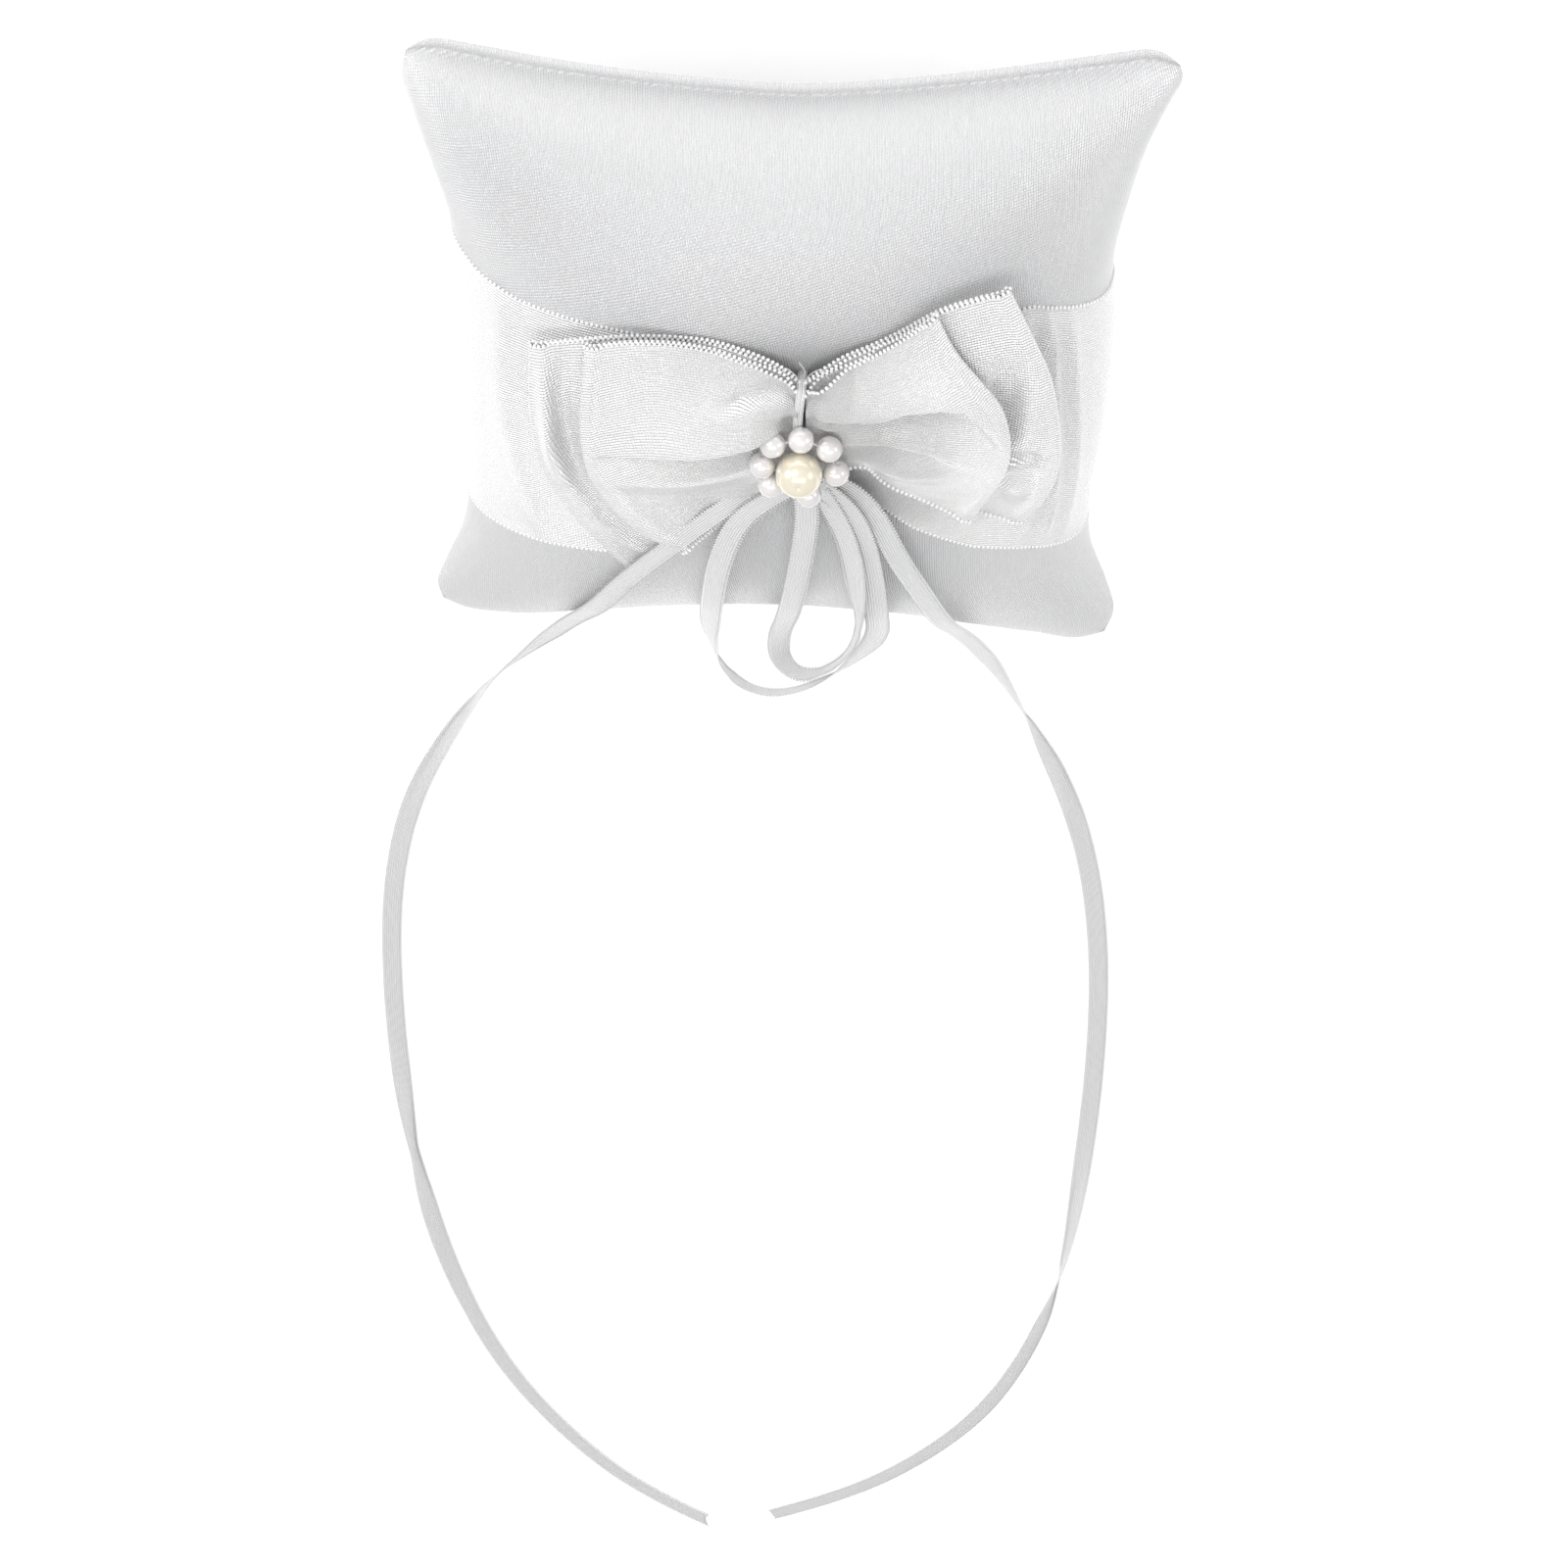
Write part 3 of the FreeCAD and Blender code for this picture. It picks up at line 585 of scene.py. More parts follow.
def cushion_form(u, v, front):
    """The stuffed shape that a panel is drawn towards, inside the seam; u and v run from -1 to 1."""
    rise = FRONT_ARC if front else BACK_ARC
    cos_u, cos_v = np.clip(np.cos(u * math.pi / 2), 0, 1), np.clip(np.cos(v * math.pi / 2), 0, 1)
    across, up = even_angles(u, HALF_WIDTH, rise * cos_v), even_angles(v, HALF_HEIGHT, rise * cos_u)
    crown = np.clip(np.cos(across), 0, 1) * np.clip(np.cos(up), 0, 1)
    a, b = (np.sin(across) + 1) / 2, (np.sin(up) + 1) / 2
    shares = np.linspace(0, 1, 401)

    def edge_at(points, share):
        line = smooth_line(points, 401)
        return np.stack([np.interp(share, shares, line[:, k]) for k in range(3)], -1)

    low, high = edge_at(SEAM_BOTTOM, a), edge_at(SEAM_TOP, a)
    left, right = edge_at(SEAM_LEFT, b), edge_at(SEAM_RIGHT, b)
    a, b = a[..., None], b[..., None]
    seam = (1 - b) * low + b * high + (1 - a) * left + a * right
    corners = [np.array(point) for point in (SEAM_BOTTOM[0], SEAM_BOTTOM[-1], SEAM_TOP[0], SEAM_TOP[-1])]
    seam -= (1 - b) * ((1 - a) * corners[0] + a * corners[1]) + b * ((1 - a) * corners[2] + a * corners[3])
    x, y, z = seam[..., 0], seam[..., 1], seam[..., 2]
    if front:
        tack = np.exp(-((x - BOW_X) ** 2 + (y - BOW_Y) ** 2) / (2 * TACK_WIDTH ** 2))
        z = z + FRONT_RISE * crown ** (0.85 + 0.3 * smooth_step(-1.2 * v)) - TACK_DEPTH * tack
    else:
        z = z - BACK_RISE * crown ** 1.1
        z = np.maximum(np.where(z < BACK_FLAT, 0.25 * (z - BACK_FLAT) + 0.4, z), 0)
    return np.stack([x, y, z], -1)


def pull(a, b, rest, stretch, squeeze):
    """Moves the two ends of many links towards their rest length."""
    gap = b - a
    length = np.sqrt((gap * gap).sum(-1)) + 1e-9
    excess = (length - rest) / length
    move = gap * (np.where(excess > 0, stretch, squeeze) * 0.5 * excess)[..., None]
    a += move
    b -= move


def cloth_links(flat, stiffness):
    """Links of a net of cloth as (cells, cells, rest length, stretch, squeeze), in sets sharing no point.
    stiffness is (squeeze of a thread, shear, bend over two cells, bend over four cells)."""
    squeeze, shear, bend_two, bend_four = stiffness
    rows, columns = flat.shape[:2]
    links = []

    def add(first, second, stretch, press):
        rest = np.linalg.norm(flat[first] - flat[second], axis=-1)
        links.append((first, second, rest, stretch, press))

    whole = slice(None)
    for span, stretch, press in ((1, 1.0, squeeze), (2, 0.0, bend_two), (4, 0.0, bend_four)):
        for start in range(span):
            for shift in (start, start + span):
                near = slice(shift, rows - span, 2 * span)
                far = slice(shift + span, rows, 2 * span)
                add((near, whole), (far, whole), stretch, press)
                near = slice(shift, columns - span, 2 * span)
                far = slice(shift + span, columns, 2 * span)
                add((whole, near), (whole, far), stretch, press)
    left, right = slice(0, columns - 1), slice(1, columns)
    for start in (0, 1):
        near, far = slice(start, rows - 1, 2), slice(start + 1, rows, 2)
        add((near, left), (far, right), shear, shear)
        add((near, right), (far, left), shear, shear)
    return links


def tailored_links(flat, goal):
    """Links of satin that gives a little on the bias, so its lengths lie between flat and stuffed ones."""
    cut = cloth_links(flat, SATIN_STIFFNESS)
    stuffed = cloth_links(goal, SATIN_STIFFNESS)
    return [(first, second, EASE * rest + (1 - EASE) * other[2], stretch, press)
            for (first, second, rest, stretch, press), other in zip(cut, stuffed)]


def relax_cushion():
    """Both panels' points: cloth that keeps its size, held at its seams, drawn to the stuffed shape."""
    side = np.linspace(-1, 1, CELLS + 1)
    u, v = np.meshgrid(side, side, indexing="ij")
    flat = np.stack([u, v], -1) * PANEL / 2
    inner_part = (1 - u ** 4) * (1 - v ** 4)
    goals = [cushion_form(u, v, True), cushion_form(u, v, False)]
    panels = [goal.copy() for goal in goals]
    goals[0][..., 2] += 0.6 * waves(u, v, 5, 6) * inner_part
    for panel, seed in zip(panels, (3, 4)):
        panel[..., 2] += 0.05 * waves(u, v, seed, 40) * inner_part
    links = [tailored_links(flat, goal) for goal in goals]
    rim = np.ones_like(u, bool)
    rim[1:-1, 1:-1] = False
    rounds = 90
    for turn in range(rounds):
        hold = 0.06 if turn < 0.6 * rounds else 0.03
        for panel, goal in zip(panels, goals):
            panel += (goal - panel) * hold
        for _ in range(5):
            for panel, joins in zip(panels, links):
                for first, second, rest, stretch, press in joins:
                    pull(panel[first], panel[second], rest, stretch, press)
            for panel in panels:
                panel[rim] = goals[0][rim]
            np.maximum(panels[1][..., 2], CLOTH_REST, out=panels[1][..., 2])
    return panels, flat


def with_lip(panel, flat, rise):
    """Adds the narrow lip that the hand-closed top edge leaves above its stitches."""
    edge, edge_flat = panel[:, -1], flat[:, -1]
    taper = np.clip(1 - np.abs(np.linspace(-1, 1, len(edge))) ** 24, 0, 1)[:, None]
    rows, flats = [panel], [flat]
    for out, up in LIP:
        rows.append((edge + np.array([0, out, up * rise]) * taper)[:, None])
        flats.append((edge_flat + [0, out])[:, None])
    return np.concatenate(rows, 1), np.concatenate(flats, 1)


def add_cushion(material, thread, fibre):
    (front, back), flat = relax_cushion()
    pieces = []
    for side, panel, rise in (("front", front, 1), ("back", back, -1)):
        points, cloth = with_lip(panel, flat, rise)
        if rise < 0:
            points, cloth = points[::-1], cloth[::-1]
        turned = np.stack([cloth[..., 1], cloth[..., 0]], -1)
        patch = grid_patch(points, turned)
        piece = add_piece(f"{side}_panel", patch, material, f"cover_{side}", subdivide=1)
        pieces.append(piece)
    core = np.array([0, 0, SEAM_HEIGHT])
    filling = [grid_patch(core + FILL_SHARE * (panel[::2, ::2] - core), flat[::2, ::2])
               for panel in (front, back[::-1])]
    add_piece("loose_fibre", joined(filling), fibre, "fibre_fill")
    closing = stitch_patch(front[3:-3, -1] + [0, 0.05, 0.12], CLOSING_GAUGE)
    add_piece("top_closing_stitches", closing, thread, "closing_stitches")
    around = np.concatenate([front[0, ::-1], front[1:, 0], front[-1, 1:]])
    seam = stitch_patch(around[4:-4] * [0.995, 0.995, 1], SEAM_GAUGE)
    add_piece("side_seam_stitches", seam, thread, "seam_thread")
    return pieces


def surface_of(pieces):
    """A search tree of several pieces, in millimetres."""
    points, faces = [], []
    for piece in pieces:
        start = len(points)
        points += [vertex.co / MM for vertex in piece.data.vertices]
        faces += [[k + start for k in face.vertices] for face in piece.data.polygons]
    return BVHTree.FromPolygons(points, faces)


# ---------------- the sash

# The sash's edges on the front, as (x, y).
SASH_TOP = [
    (-46, 23), (-43.2, 22), (-40.6, 20.2), (-36, 18.9), (-30.5, 18.5), (-20, 18.2), (-12, 16.8),
    (-4.8, 13.6), (0.3, 9.4), (2.8, 8.2), (6, 9.6), (12, 14), (20, 18.2), (28, 21.2), (33, 21.8),
    (39, 19.4), (46, 16.6)]
SASH_BOTTOM = [
    (-46, -26.2), (-37.6, -25.7), (-27.7, -24.4), (-18, -20), (-9, -12.5), (-2, -7), (2.8, -5.2),
    (7, -6.6), (11, -9.6), (18, -14.8), (27.8, -20), (36, -22.8), (46, -27.4)]

SASH_BACK_TOP, SASH_BACK_LOW = 17.6, -26.6  # its straight edges round the back, as y
SASH_CORE = Vector((0, 0, 15))  # it goes round the line along y through this point
SASH_REACH = (46, 30)  # half width and half height of the oval that its points are spaced along
# Creases that run across the sash beside the bow, as (x, height, half width).
SASH_RIDGES = [(33.4, 0.9, 0.9), (36.6, 0.9, 0.8), (39.4, 0.6, 0.8), (-37.2, 0.6, 1.5)]


def sash_patch(tree):
    """Ribbon laid round the cushion: each point is the cushion's surface plus the gathers' height."""
    stations, across = 360, 84
    turn = np.linspace(0, TAU, stations + 1) + math.pi
    points = np.zeros((stations + 1, across + 1, 3))
    share = np.linspace(0, 1, across + 1)
    top_x, top_y = np.array(SASH_TOP).T
    low_x, low_y = np.array(SASH_BOTTOM).T
    for k, angle in enumerate(turn):
        direction = Vector((math.sin(angle), 0, math.cos(angle)))
        on_front = smooth_step(0.5 + 3.0 * direction.z)
        aim = Vector((SASH_REACH[0] * direction.x, 0, direction.z * SASH_REACH[1])).normalized()
        hit = tree.ray_cast(SASH_CORE, aim)[0]
        x = hit.x
        high = on_front * np.interp(x, top_x, top_y) + (1 - on_front) * SASH_BACK_TOP
        low = on_front * np.interp(x, low_x, low_y) + (1 - on_front) * SASH_BACK_LOW
        narrow = np.clip((high - low) / WIDE_RIBBON, 0.2, 1)
        pleat = on_front * np.clip(1 - narrow, 0, 1) * 1.15
        for j, s in enumerate(share):
            y = low + (high - low) * s
            spot, normal, _, _ = tree.ray_cast(Vector((0, y, SASH_CORE.z)), (hit - SASH_CORE).normalized())
            gather = pleat * (0.5 + 0.5 * math.sin(TAU * (4.5 * s + 0.1)))
            ridges, inwards = 0.0, 6 * min(s, 1 - s)
            if direction.z > 0:
                for ridge, tall, wide in SASH_RIDGES:
                    bulge = math.exp(-((x + 0.06 * y - ridge) / wide) ** 2)
                    ridges += smooth_step(inwards + 0.2) * tall * bulge
            points[k, j] = spot + normal * (0.03 + 0.2 * smooth_step(inwards) + gather + ridges)
    return points, strip_patch(points, arc_lengths(points[:, across // 2]), (share - 0.5) * WIDE_RIBBON)


def add_sash(tree, material, edge_material, thread):
    points, cloth = sash_patch(tree)
    piece = add_piece("sash", cloth, material, "sash_ribbon")
    closed = np.concatenate([points[:-1], points[:1]])
    edging = add_piece("sash_edging", joined(selvedges(closed, WIDE_PICOT)), edge_material)
    ends = stitch_patch(points[0, 4:-4] + [0, 0, -0.1], SASH_GAUGE, upward=(0, 0, -1))
    add_piece("sash_end_stitches", ends, thread, "sash_stitches")
    return piece


# ---------------- the double bow

ALONG, ACROSS = 64, 108  # cells of one leaf of a loop, from pinch to fold and across the ribbon
FOLD_RADIUS = 0.45  # the ribbon's outer folds are soft, not creased
PINCH_CROWN = 1.2  # the pinched cloth stands this much higher in the middle
PEARLS_Y = 1.8  # middle of the pearls
PEARLS_REACH = 5.7  # how far from it the cloth stays under them
PEARLS_FLOOR = 38.6  # highest that the cloth lies there, and how steeply it may rise beyond
PEARLS_SLOPE = 2.2
SWELL_RISE = 1.5  # height of every swell against its figure in the lists below
GATHER_FOLDS = 4.6  # folds across the pinch, and the share of the loop over which they fade
GATHER_REACH = 0.17
RIM_ROLL = (0.45, 1.0, 0.7)  # roll beside the outer fold: height, distance in from it, half width
LEAF_GAP = 0.22  # least space between a loop's leaves, and how much deeper the lower one hangs
LEAF_SAG = 0.8
DROP_LEAN = 1.1  # how far a loop slides towards the lower edge as it drops
CLEARANCE = 0.35  # the lower leaf stays this far above what is under it
FOLD_TURNS = [25, 50, 75, 105, 135, 160]  # degrees round the fold at which it has points

# Each loop has the lines of its upper leaf's two edges, from the pinch outwards, and of its outer fold,
# from the lower edge to the upper one. A tuck is a crest line of (x, y, height) with the widths of its
# slopes, first on the side towards +y; a swell is (x, y, half length, half width, height). gap is the
# space inside the loop, and drop how far it sinks away from the pinch.
BOW_LOOPS = {
    "upper_left": {
        "top": [(2.3, 12, 38.1), (0.4, 14.4, 37.6), (-1.8, 16.2, 38), (-5.2, 18.6, 38.8),
            (-9.6, 21.4, 40), (-14, 23, 41), (-19.8, 23.3, 41.5), (-25, 21.9, 41)],
        "fold": [(-12.7, -19.8, 35.5), (-18.8, -12.8, 38.5), (-22.5, -5.2, 41), (-24.8, 1.4, 42.5),
            (-25.7, 8.8, 43), (-25.5, 15.2, 42.5), (-25, 21.9, 41)],
        "bottom": [(1.8, -4.6, 37.2), (-1, -6.2, 37), (-5.7, -10.8, 36.2), (-9.7, -16.1, 35.6),
            (-12.7, -19.8, 35.5)],
        "tucks": [([(2, 6.8, 1.2), (-0.6, 7.6, 3), (-3.7, 8, 4.4), (-7.4, 8, 4.8), (-11.3, 7.6, 4.2),
            (-15.4, 6.9, 2.8), (-19.6, 6, 1.4), (-24.2, 5.4, 0.2)], 4.6, 0.9)],
        "swells": [(-8.6, 12.6, 3.6, 2.2, 0.5), (-4.2, 13.6, 2.6, 0.9, -1.1), (-12, 0.2, 9, 2.6, 1.3),
            (-9, -9, 7, 4, -0.5), (-17, 15.5, 3.5, 6, -0.6)],
        "gap": 1.8, "drop": 3.3},
    "upper_right": {
        "top": [(3.3, 12, 38.1), (5.6, 14.8, 37.6), (8, 17.6, 38), (12, 21.6, 39.2), (16, 25.6, 40.4),
            (19.3, 29.3, 41)],
        "fold": [(25.6, -10.2, 37), (28, -2.3, 40), (29.6, 4.1, 42), (29.4, 12.4, 43.5),
            (28.1, 16.6, 43.5), (25.4, 20.2, 43), (22.1, 24.1, 42), (19.3, 29.3, 41)],
        "bottom": [(3.8, -4.6, 37.2), (7.5, -1.8, 37.4), (11.6, -0.4, 37.4), (13.9, -3.1, 37.2),
            (18, -5.6, 37.1), (22.4, -8.2, 37), (25.6, -10.2, 37)],
        "tucks": [([(3.4, 7.8, 1), (5.7, 10.4, 2.6), (9.5, 12.8, 3.8), (13.3, 14.8, 4.2), (16.2, 16.6, 4),
            (20.7, 17.6, 3.2), (23.8, 17, 2.2), (26.4, 14, 1.2), (28.5, 10.3, 0.3)], 4.4, 0.9),
            ([(7, 5.6, 0.5), (10.9, 7.6, 2), (13.4, 8.8, 2.5), (15.7, 9, 2.3), (19.8, 7.8, 1.4),
            (23.8, 5, 0.1)], 2.2, 0.9)],
        "swells": [(6.6, 14.8, 2.2, 2, 0.6), (9.8, 18, 1.2, 4, -0.5), (16.5, 1.4, 5, 2.4, 1.2),
            (20, -4, 5, 1.8, 0.4)],
        "gap": 1.8, "drop": 3.3},
    "lower_left": {
        "top": [(2.3, 13, 36.6), (0.4, 14.8, 36.9), (-1.8, 16.8, 37.4), (-5.2, 19.4, 38.2),
            (-9.6, 22, 39.2), (-14, 23.3, 40.1), (-19.8, 23.6, 40.6), (-25.2, 22.5, 40.1),
            (-32.4, 20.4, 39)],
        "fold": [(-20, -27.1, 32), (-23.1, -21.2, 34), (-26.8, -13.4, 36.5), (-30.4, -4.4, 38.5),
            (-32.1, 4, 40), (-32.6, 12.7, 40), (-32.4, 20.4, 39)],
        "bottom": [(1.8, -5, 35.6), (-4.4, -11.4, 35), (-13.8, -21.6, 33.2), (-20, -27.1, 32)],
        "tucks": [([(-17.5, -22, 0.3), (-20, -18.1, 0.9), (-23.9, -10.4, 1.3), (-28.2, -1.6, 1.4),
            (-30.8, 7.8, 1.1), (-31, 15.5, 0.5)], 1.8, 1.8), ([(-28.6, 22, -0.4), (-28.4, 16, -1.3),
            (-27.9, 9, -1.5), (-27.3, 2, -1.5), (-26.2, -4, -1.7), (-23.8, -10, -1.7), (-20.2, -16, -1.2),
            (-16.5, -21, -0.3)], 1.5, 1.7)],
        "swells": [(-30.6, 3, 0.9, 9, 0.5)],
        "gap": 1.6, "drop": 4.0},
    "lower_right": {
        "top": [(3.3, 13, 36.6), (5.6, 15.2, 36.9), (8, 18, 37.4), (12, 22, 38.6), (16, 26, 39.6),
            (20, 29.8, 40.2), (28.3, 33.4, 39.8)],
        "fold": [(32.9, -12.3, 34.5), (34.9, -7, 36.5), (36.6, 1.7, 39), (36, 11.8, 40.5),
            (34.2, 20.1, 40.6), (31.4, 26.8, 40.5), (28.3, 33.4, 39.8)],
        "bottom": [(3.8, -5, 35.6), (13.6, -1.4, 35.8), (21.7, -6.4, 35.6), (27.9, -10.2, 35.2),
            (32.9, -12.3, 34.5)],
        "tucks": [([(27.5, 5.4, -1.5), (31, 4.8, -1.3), (34.4, 5.3, -0.5)], 0.9, 0.9)],
        "swells": [(28.6, 17, 1.9, 3.8, -1.6), (32.4, 12.5, 1.4, 5, 0.9), (31.6, -1.7, 1.8, 3.4, 0.9),
            (34.6, 4, 0.9, 8, 0.5)],
        "gap": 1.6, "drop": 4.0},
}


def crest_rise(x, y, line, above, below):
    """Height that a tuck adds: it falls away from its crest line with a different width on each side."""
    line = np.array(line, float)
    nearest = np.full_like(x, np.inf)
    rise, side = np.zeros_like(x), np.zeros_like(x)
    for (x0, y0, h0), (x1, y1, h1) in zip(line, line[1:]):
        run = np.hypot(x1 - x0, y1 - y0)
        dx, dy = (x1 - x0) / run, (y1 - y0) / run
        share = np.clip(((x - x0) * dx + (y - y0) * dy) / run, 0, 1)
        off_x, off_y = x - x0 - share * run * dx, y - y0 - share * run * dy
        away = np.hypot(off_x, off_y)
        closer = away < nearest
        nearest = np.where(closer, away, nearest)
        rise = np.where(closer, h0 + (h1 - h0) * share, rise)
        left = dx * off_y - dy * off_x if dx > 0 else dy * off_x - dx * off_y
        side = np.where(closer, left, side)
    steep = np.exp(-(nearest / below) ** 2)
    slope = np.where(side > 0, np.exp(-(nearest / above) ** 1.5), steep)
    trough = np.where(side > 0, 0.0, (1 - steep) * np.exp(-nearest / (3 * below)))
    return rise * (slope - trough)


def plain_leaf(loop):
    """One leaf of a loop, stretched between its edges and its fold; s runs outwards and t across it."""
    top, bottom = smooth_line(loop["top"], ALONG + 1), smooth_line(loop["bottom"], ALONG + 1)
    fold = smooth_line(loop["fold"], ACROSS + 1)
    s, t = np.meshgrid(np.linspace(0, 1, ALONG + 1), np.linspace(0, 1, ACROSS + 1), indexing="ij")
    a, b = s[..., None], t[..., None]
    pinch = bottom[0] + (top[0] - bottom[0]) * b[0]
    pinch[:, 2] += PINCH_CROWN * np.sin(math.pi * t[0])
    leaf = (1 - b) * bottom[:, None] + b * top[:, None] + (1 - a) * pinch[None] + a * fold[None]
    leaf = leaf - (1 - a) * ((1 - b) * bottom[0] + b * top[0]) - a * ((1 - b) * bottom[-1] + b * top[-1])
    return leaf, s, t


def tucked_leaf(plain, loop, s, t, body):
    """The upper leaf: the plain one with its tucks, swells and gathers, kept down under the pearls."""
    leaf = plain.copy()
    x, y = leaf[..., 0], leaf[..., 1]
    rise = body
    for line, above, below in loop["tucks"]:
        rise = rise + crest_rise(x, y, line, above, below)
    for cx, cy, half_x, half_y, height in loop["swells"]:
        rise = rise + SWELL_RISE * height * np.exp(-((x - cx) / half_x) ** 2 - ((y - cy) / half_y) ** 2)
    hold = smooth_step(s / 0.12) * smooth_step((1 - s) / 0.06)
    gathers = np.sin(TAU * (GATHER_FOLDS * t + 0.3 + 0.8 * s)) * np.exp(-(s / GATHER_REACH) ** 2)
    run = np.linalg.norm(leaf[-1] - leaf[0], axis=-1)[None]
    tall, inwards, wide = RIM_ROLL
    rim = tall * np.exp(-(((1 - s) * run - inwards) / wide) ** 2)
    leaf[..., 2] += rise * hold + gathers + rim
    beside = np.hypot(leaf[..., 0] - BOW_X, leaf[..., 1] - PEARLS_Y) - PEARLS_REACH
    over = leaf[..., 2] - (PEARLS_FLOOR + PEARLS_SLOPE * np.maximum(beside, 0))
    leaf[..., 2] -= (over + np.sqrt(over ** 2 + 0.25)) / 2
    return leaf


def clear_of(points, below, gap):
    """Lifts the points of a sheet that lie less than gap above what is below it."""
    for point in points.reshape(-1, 3):
        hit = below.ray_cast(Vector((point[0], point[1], 90)), Vector((0, 0, -1)))[0]
        if hit:
            point[2] = max(point[2], hit.z + gap)


def loop_patch(loop, below):
    """Both leaves of a loop with its soft outer fold, its looped edges and the length of its ribbon."""
    lower, s, t = plain_leaf(loop)
    body = np.sin(math.pi * s) * np.sin(math.pi * t)
    upper = tucked_leaf(lower, loop, s, t, body)
    closed = (1 - t ** 8) * (1 - 0.5 * (1 - t) ** 8)
    open_height = loop["gap"] * np.sin(math.pi * s) ** 0.8 * (1 - 0.4 * s) * closed
    lower[..., 2] -= open_height + LEAF_GAP + LEAF_SAG * body
    lower[..., 1] += 0.6 * smooth_step(s / 0.1) * (1 - s) ** 0.5 * t ** 4
    settle = loop["drop"] * smooth_step(s / 0.55) * t ** 0.6
    for leaf in (lower, upper):
        leaf[..., 2] -= settle
        leaf[..., 1] -= DROP_LEAN * settle
    clear_of(lower, below, CLEARANCE)
    upper[..., 2] = np.maximum(upper[..., 2], lower[..., 2] + 0.2)
    outward = unit((upper[-1] - upper[-6]) * [1, 1, 0])
    upward = np.array([0, 0, 1])
    centre = upper[-1] - FOLD_RADIUS * upward
    lower[-1] = centre - FOLD_RADIUS * upward
    bend = [centre + FOLD_RADIUS * (math.sin(turn) * outward + math.cos(turn) * upward)
            for turn in np.radians(FOLD_TURNS)]
    sheet = np.concatenate([upper, bend, lower[::-1]])
    cloth = strip_patch(sheet, arc_lengths(sheet[:, ACROSS // 2]), (t[0] - 0.5) * WIDE_RIBBON)
    cut = (arc_lengths(sheet[:, 0])[-1] + arc_lengths(sheet[:, -1])[-1]) / 2
    return cloth, selvedges(sheet, WIDE_PICOT), cut


def add_bow(layer, materials, below):
    material, edge_material = materials
    patches, beads, length = [], [], 0.0
    for side in ("left", "right"):
        cloth, edges, run = loop_patch(BOW_LOOPS[f"{layer}_{side}"], below)
        patches.append(cloth)
        beads += edges
        length += run
    piece = add_piece(f"bow_{layer}", joined(patches), material, f"bow_{layer}_ribbon")
    edging = add_piece(f"bow_{layer}_edging", joined(beads), edge_material)
    return piece


def add_tie(material, thread):
    """The narrow strip over the bow's pinch and down both its sides, with loose thread ends."""
    section = smooth_line([(BOW_X, 12.6, 33.4), (BOW_X - 0.1, 13.2, 35.4), (BOW_X - 0.2, 12.4, 38.2),
                           (BOW_X - 0.4, 10.0, 39.1), (BOW_X - 0.5, 6.5, 39.3), (BOW_X - 0.2, 2.0, 39.1),
                           (BOW_X, -2.5, 39.0), (BOW_X, -5.6, 38.2), (BOW_X, -6.4, 36.4),
                           (BOW_X, -5.8, 34.6)], 90)
    half = 0.62
    offset = np.linspace(-half, half, 9)
    hollow = 0.22 * np.cos(offset / half * math.pi)
    out = unit(section - np.array([BOW_X, 2.0, 36.2]))
    strip = section[:, None] + offset[:, None] * np.array([1, 0, 0]) + out[:, None] * hollow[:, None] * 0.6
    patch = strip_patch(strip, arc_lengths(section), offset)
    add_piece("tie_strip", patch, material, "bow_tie", subdivide=1)
    ends = [smooth_line([(2.4, 13.0, 36.4), (1.6, 14.8, 36.9), (0.4, 15.6, 36.8), (-0.2, 14.9, 37.6)], 24),
            smooth_line([(3.2, 13.0, 36.2), (3.8, 14.6, 36.6), (5.2, 15.4, 36.6), (6.2, 14.6, 37.4)], 24),
            smooth_line([(2.8, 13.2, 35.8), (3.0, 14.8, 36.2), (2.2, 16.0, 36.0)], 20)]
    loose = joined([tube_patch(end, 0.07, 6) for end in ends])
    add_piece("loose_thread_ends", loose, thread)


def add_knot(material):
    """The small overhand knot of the narrow ribbon, tucked under the large pearl: two crossed wraps."""
    patches = []
    angle = np.linspace(0, TAU, 49)
    offset = np.linspace(-1.2, 1.2, 9)
    narrowed = (1 - 0.25 * np.abs(np.cos(angle)))[:, None, None]
    for centre, tilt, reach in (((2.8, -4.4, 36.9), 0.35, 3.0), ((2.9, -4.6, 36.7), -0.5, 2.6)):
        out = np.cos(angle) * reach
        ring = np.stack([out * math.cos(tilt), out * math.sin(tilt), np.sin(angle)], -1)
        across = np.array([-math.sin(tilt), math.cos(tilt), 0.0])
        wrap = np.array(centre) + ring[:, None] + offset[:, None] * across * narrowed
        patches.append(strip_patch(wrap, angle * 2, offset))
    add_piece("ribbon_wraps", joined(patches), material, "ribbon_knot", subdivide=1)


# ---------------- pearls

SMALL_PEARLS = 7


def node_ball(node):
    """The centre and radius of a round node, in millimetres."""
    low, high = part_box(node)
    return (np.array(low) + np.array(high)) / 2 / MM, (high[0] - low[0]) / MM / 2


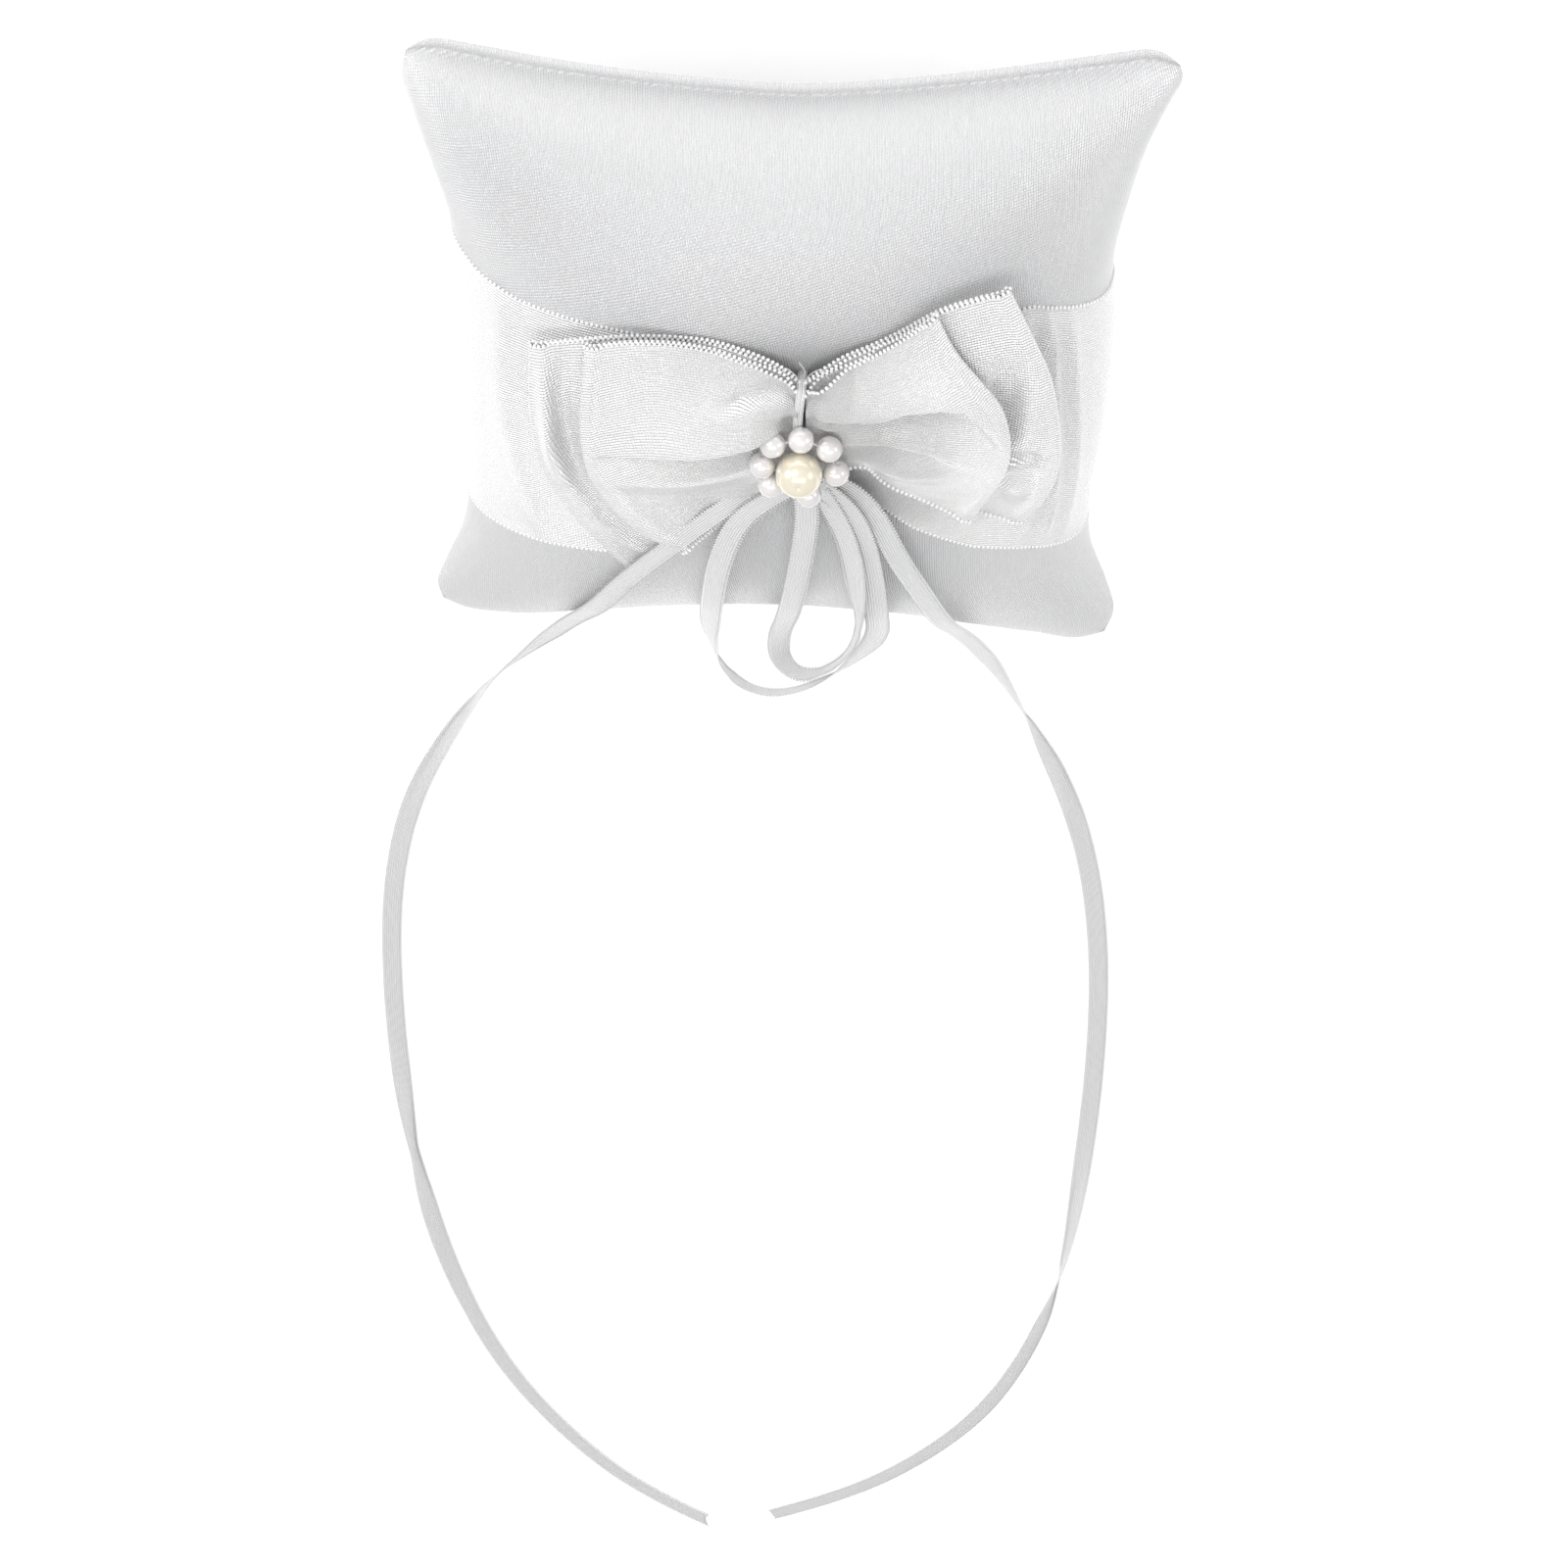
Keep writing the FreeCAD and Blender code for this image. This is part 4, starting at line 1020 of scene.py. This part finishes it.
def pearl_patch(centre, radius, hole_axis, seed):
    """A pearl, a little out of round, dimpled where its thread enters."""
    rings, sides = 28, 40
    p, a = np.meshgrid(np.linspace(0, math.pi, rings), np.linspace(0, TAU, sides + 1), indexing="ij")
    axis = unit(np.array(hole_axis, float))
    first = unit(np.cross(axis, [0.2, 0.3, 0.9]))
    second = np.cross(axis, first)
    ball = (np.sin(p) * np.cos(a))[..., None] * first + (np.sin(p) * np.sin(a))[..., None] * second
    ball = ball + np.cos(p)[..., None] * axis
    rng = np.random.default_rng(seed)
    oval = 1 + 0.012 * (ball @ unit(rng.normal(size=3))) ** 2
    dimple = 1 - 0.10 * np.exp(-(np.minimum(p, math.pi - p) / 0.14) ** 2)
    points = centre + ball * (radius * oval * dimple)[..., None]
    return grid_patch(points, np.stack([a, p], -1) * radius)


def add_pearls(white, cream, nylon):
    middle, radius = node_ball("pearl_large")
    centres = []
    for k in range(1, SMALL_PEARLS + 1):
        node = f"pearl_small_{k}"
        centre, small = node_ball(node)
        centres.append(centre)
        round_ring = np.cross(centre - middle, [0, 0, 1.0])
        add_piece(f"ring_pearl_{k}", pearl_patch(centre, small, round_ring, k), white, node)
    patch = pearl_patch(middle, radius, (0, 0.1, 1), 99)
    add_piece("centre_pearl", patch, cream, "pearl_large")
    ring = np.array(centres + centres[:1])
    thread = [tube_patch(np.linspace(a, b, 8), 0.13, 8) for a, b in zip(ring, ring[1:])]
    add_piece("pearl_string", joined(thread), nylon, "pearl_thread")


# ---------------- making it all

add_camera()
ribbon_narrow = woven("narrow_satin", (0.92, 0.92, 0.92), rough=0.30, spacing=NARROW_WEAVE, tilt=0.0,
                      height=0.07, twist=0.6, anisotropy=0.4, gloss=0.3)
add_narrow_ribbon("loop_large", LOOP_LARGE, ROLL_LARGE, ribbon_narrow)
add_narrow_ribbon("loop_small", LOOP_SMALL, ROLL_SMALL, ribbon_narrow)
add_narrow_ribbon("tail_left", TAIL_LEFT, ROLL_LEFT, ribbon_narrow, cut=3.4)
add_narrow_ribbon("tail_right", TAIL_RIGHT, ROLL_RIGHT, ribbon_narrow, cut=0.3)
add_floor()
add_studio()

cover_satin = woven("cover_satin", (0.79, 0.79, 0.80), rough=0.24, spacing=COVER_WEAVE, tilt=0.14,
                    height=0.05, twist=0.8, anisotropy=0.3, gloss=0.45)
ribbon_wide = woven("wide_satin", (0.95, 0.95, 0.95), rough=0.20, spacing=RIBBON_WEAVE, tilt=0.0,
                    height=0.065, twist=0.8, anisotropy=0.2, gloss=0.5)
ribbon_edge = woven("ribbon_edge", (0.95, 0.95, 0.95), rough=0.5, spacing=0.2, tilt=0.0,
                    height=0.02, twist=0.5, anisotropy=0.0, gloss=0.0)
thread = thread_material()
panels = add_cushion(cover_satin, thread, fibre_material())
sash = add_sash(surface_of(panels), ribbon_wide, ribbon_edge, thread)
bow_looks = (ribbon_wide, ribbon_edge)
lower_bow = add_bow("lower", bow_looks, surface_of(panels + [sash]))
add_bow("upper", bow_looks, surface_of([panels[0], sash, lower_bow]))
add_tie(ribbon_narrow, thread)
add_knot(ribbon_narrow)
add_pearls(pearl_material("white_pearl", (0.70, 0.665, 0.67), (0.93, 0.91, 0.90)),
           pearl_material("cream_pearl", (0.80, 0.72, 0.54), (0.92, 0.87, 0.73)), nylon_material())
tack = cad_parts["tacking_thread"]
for place in tack.material_slots:
    place.material = thread
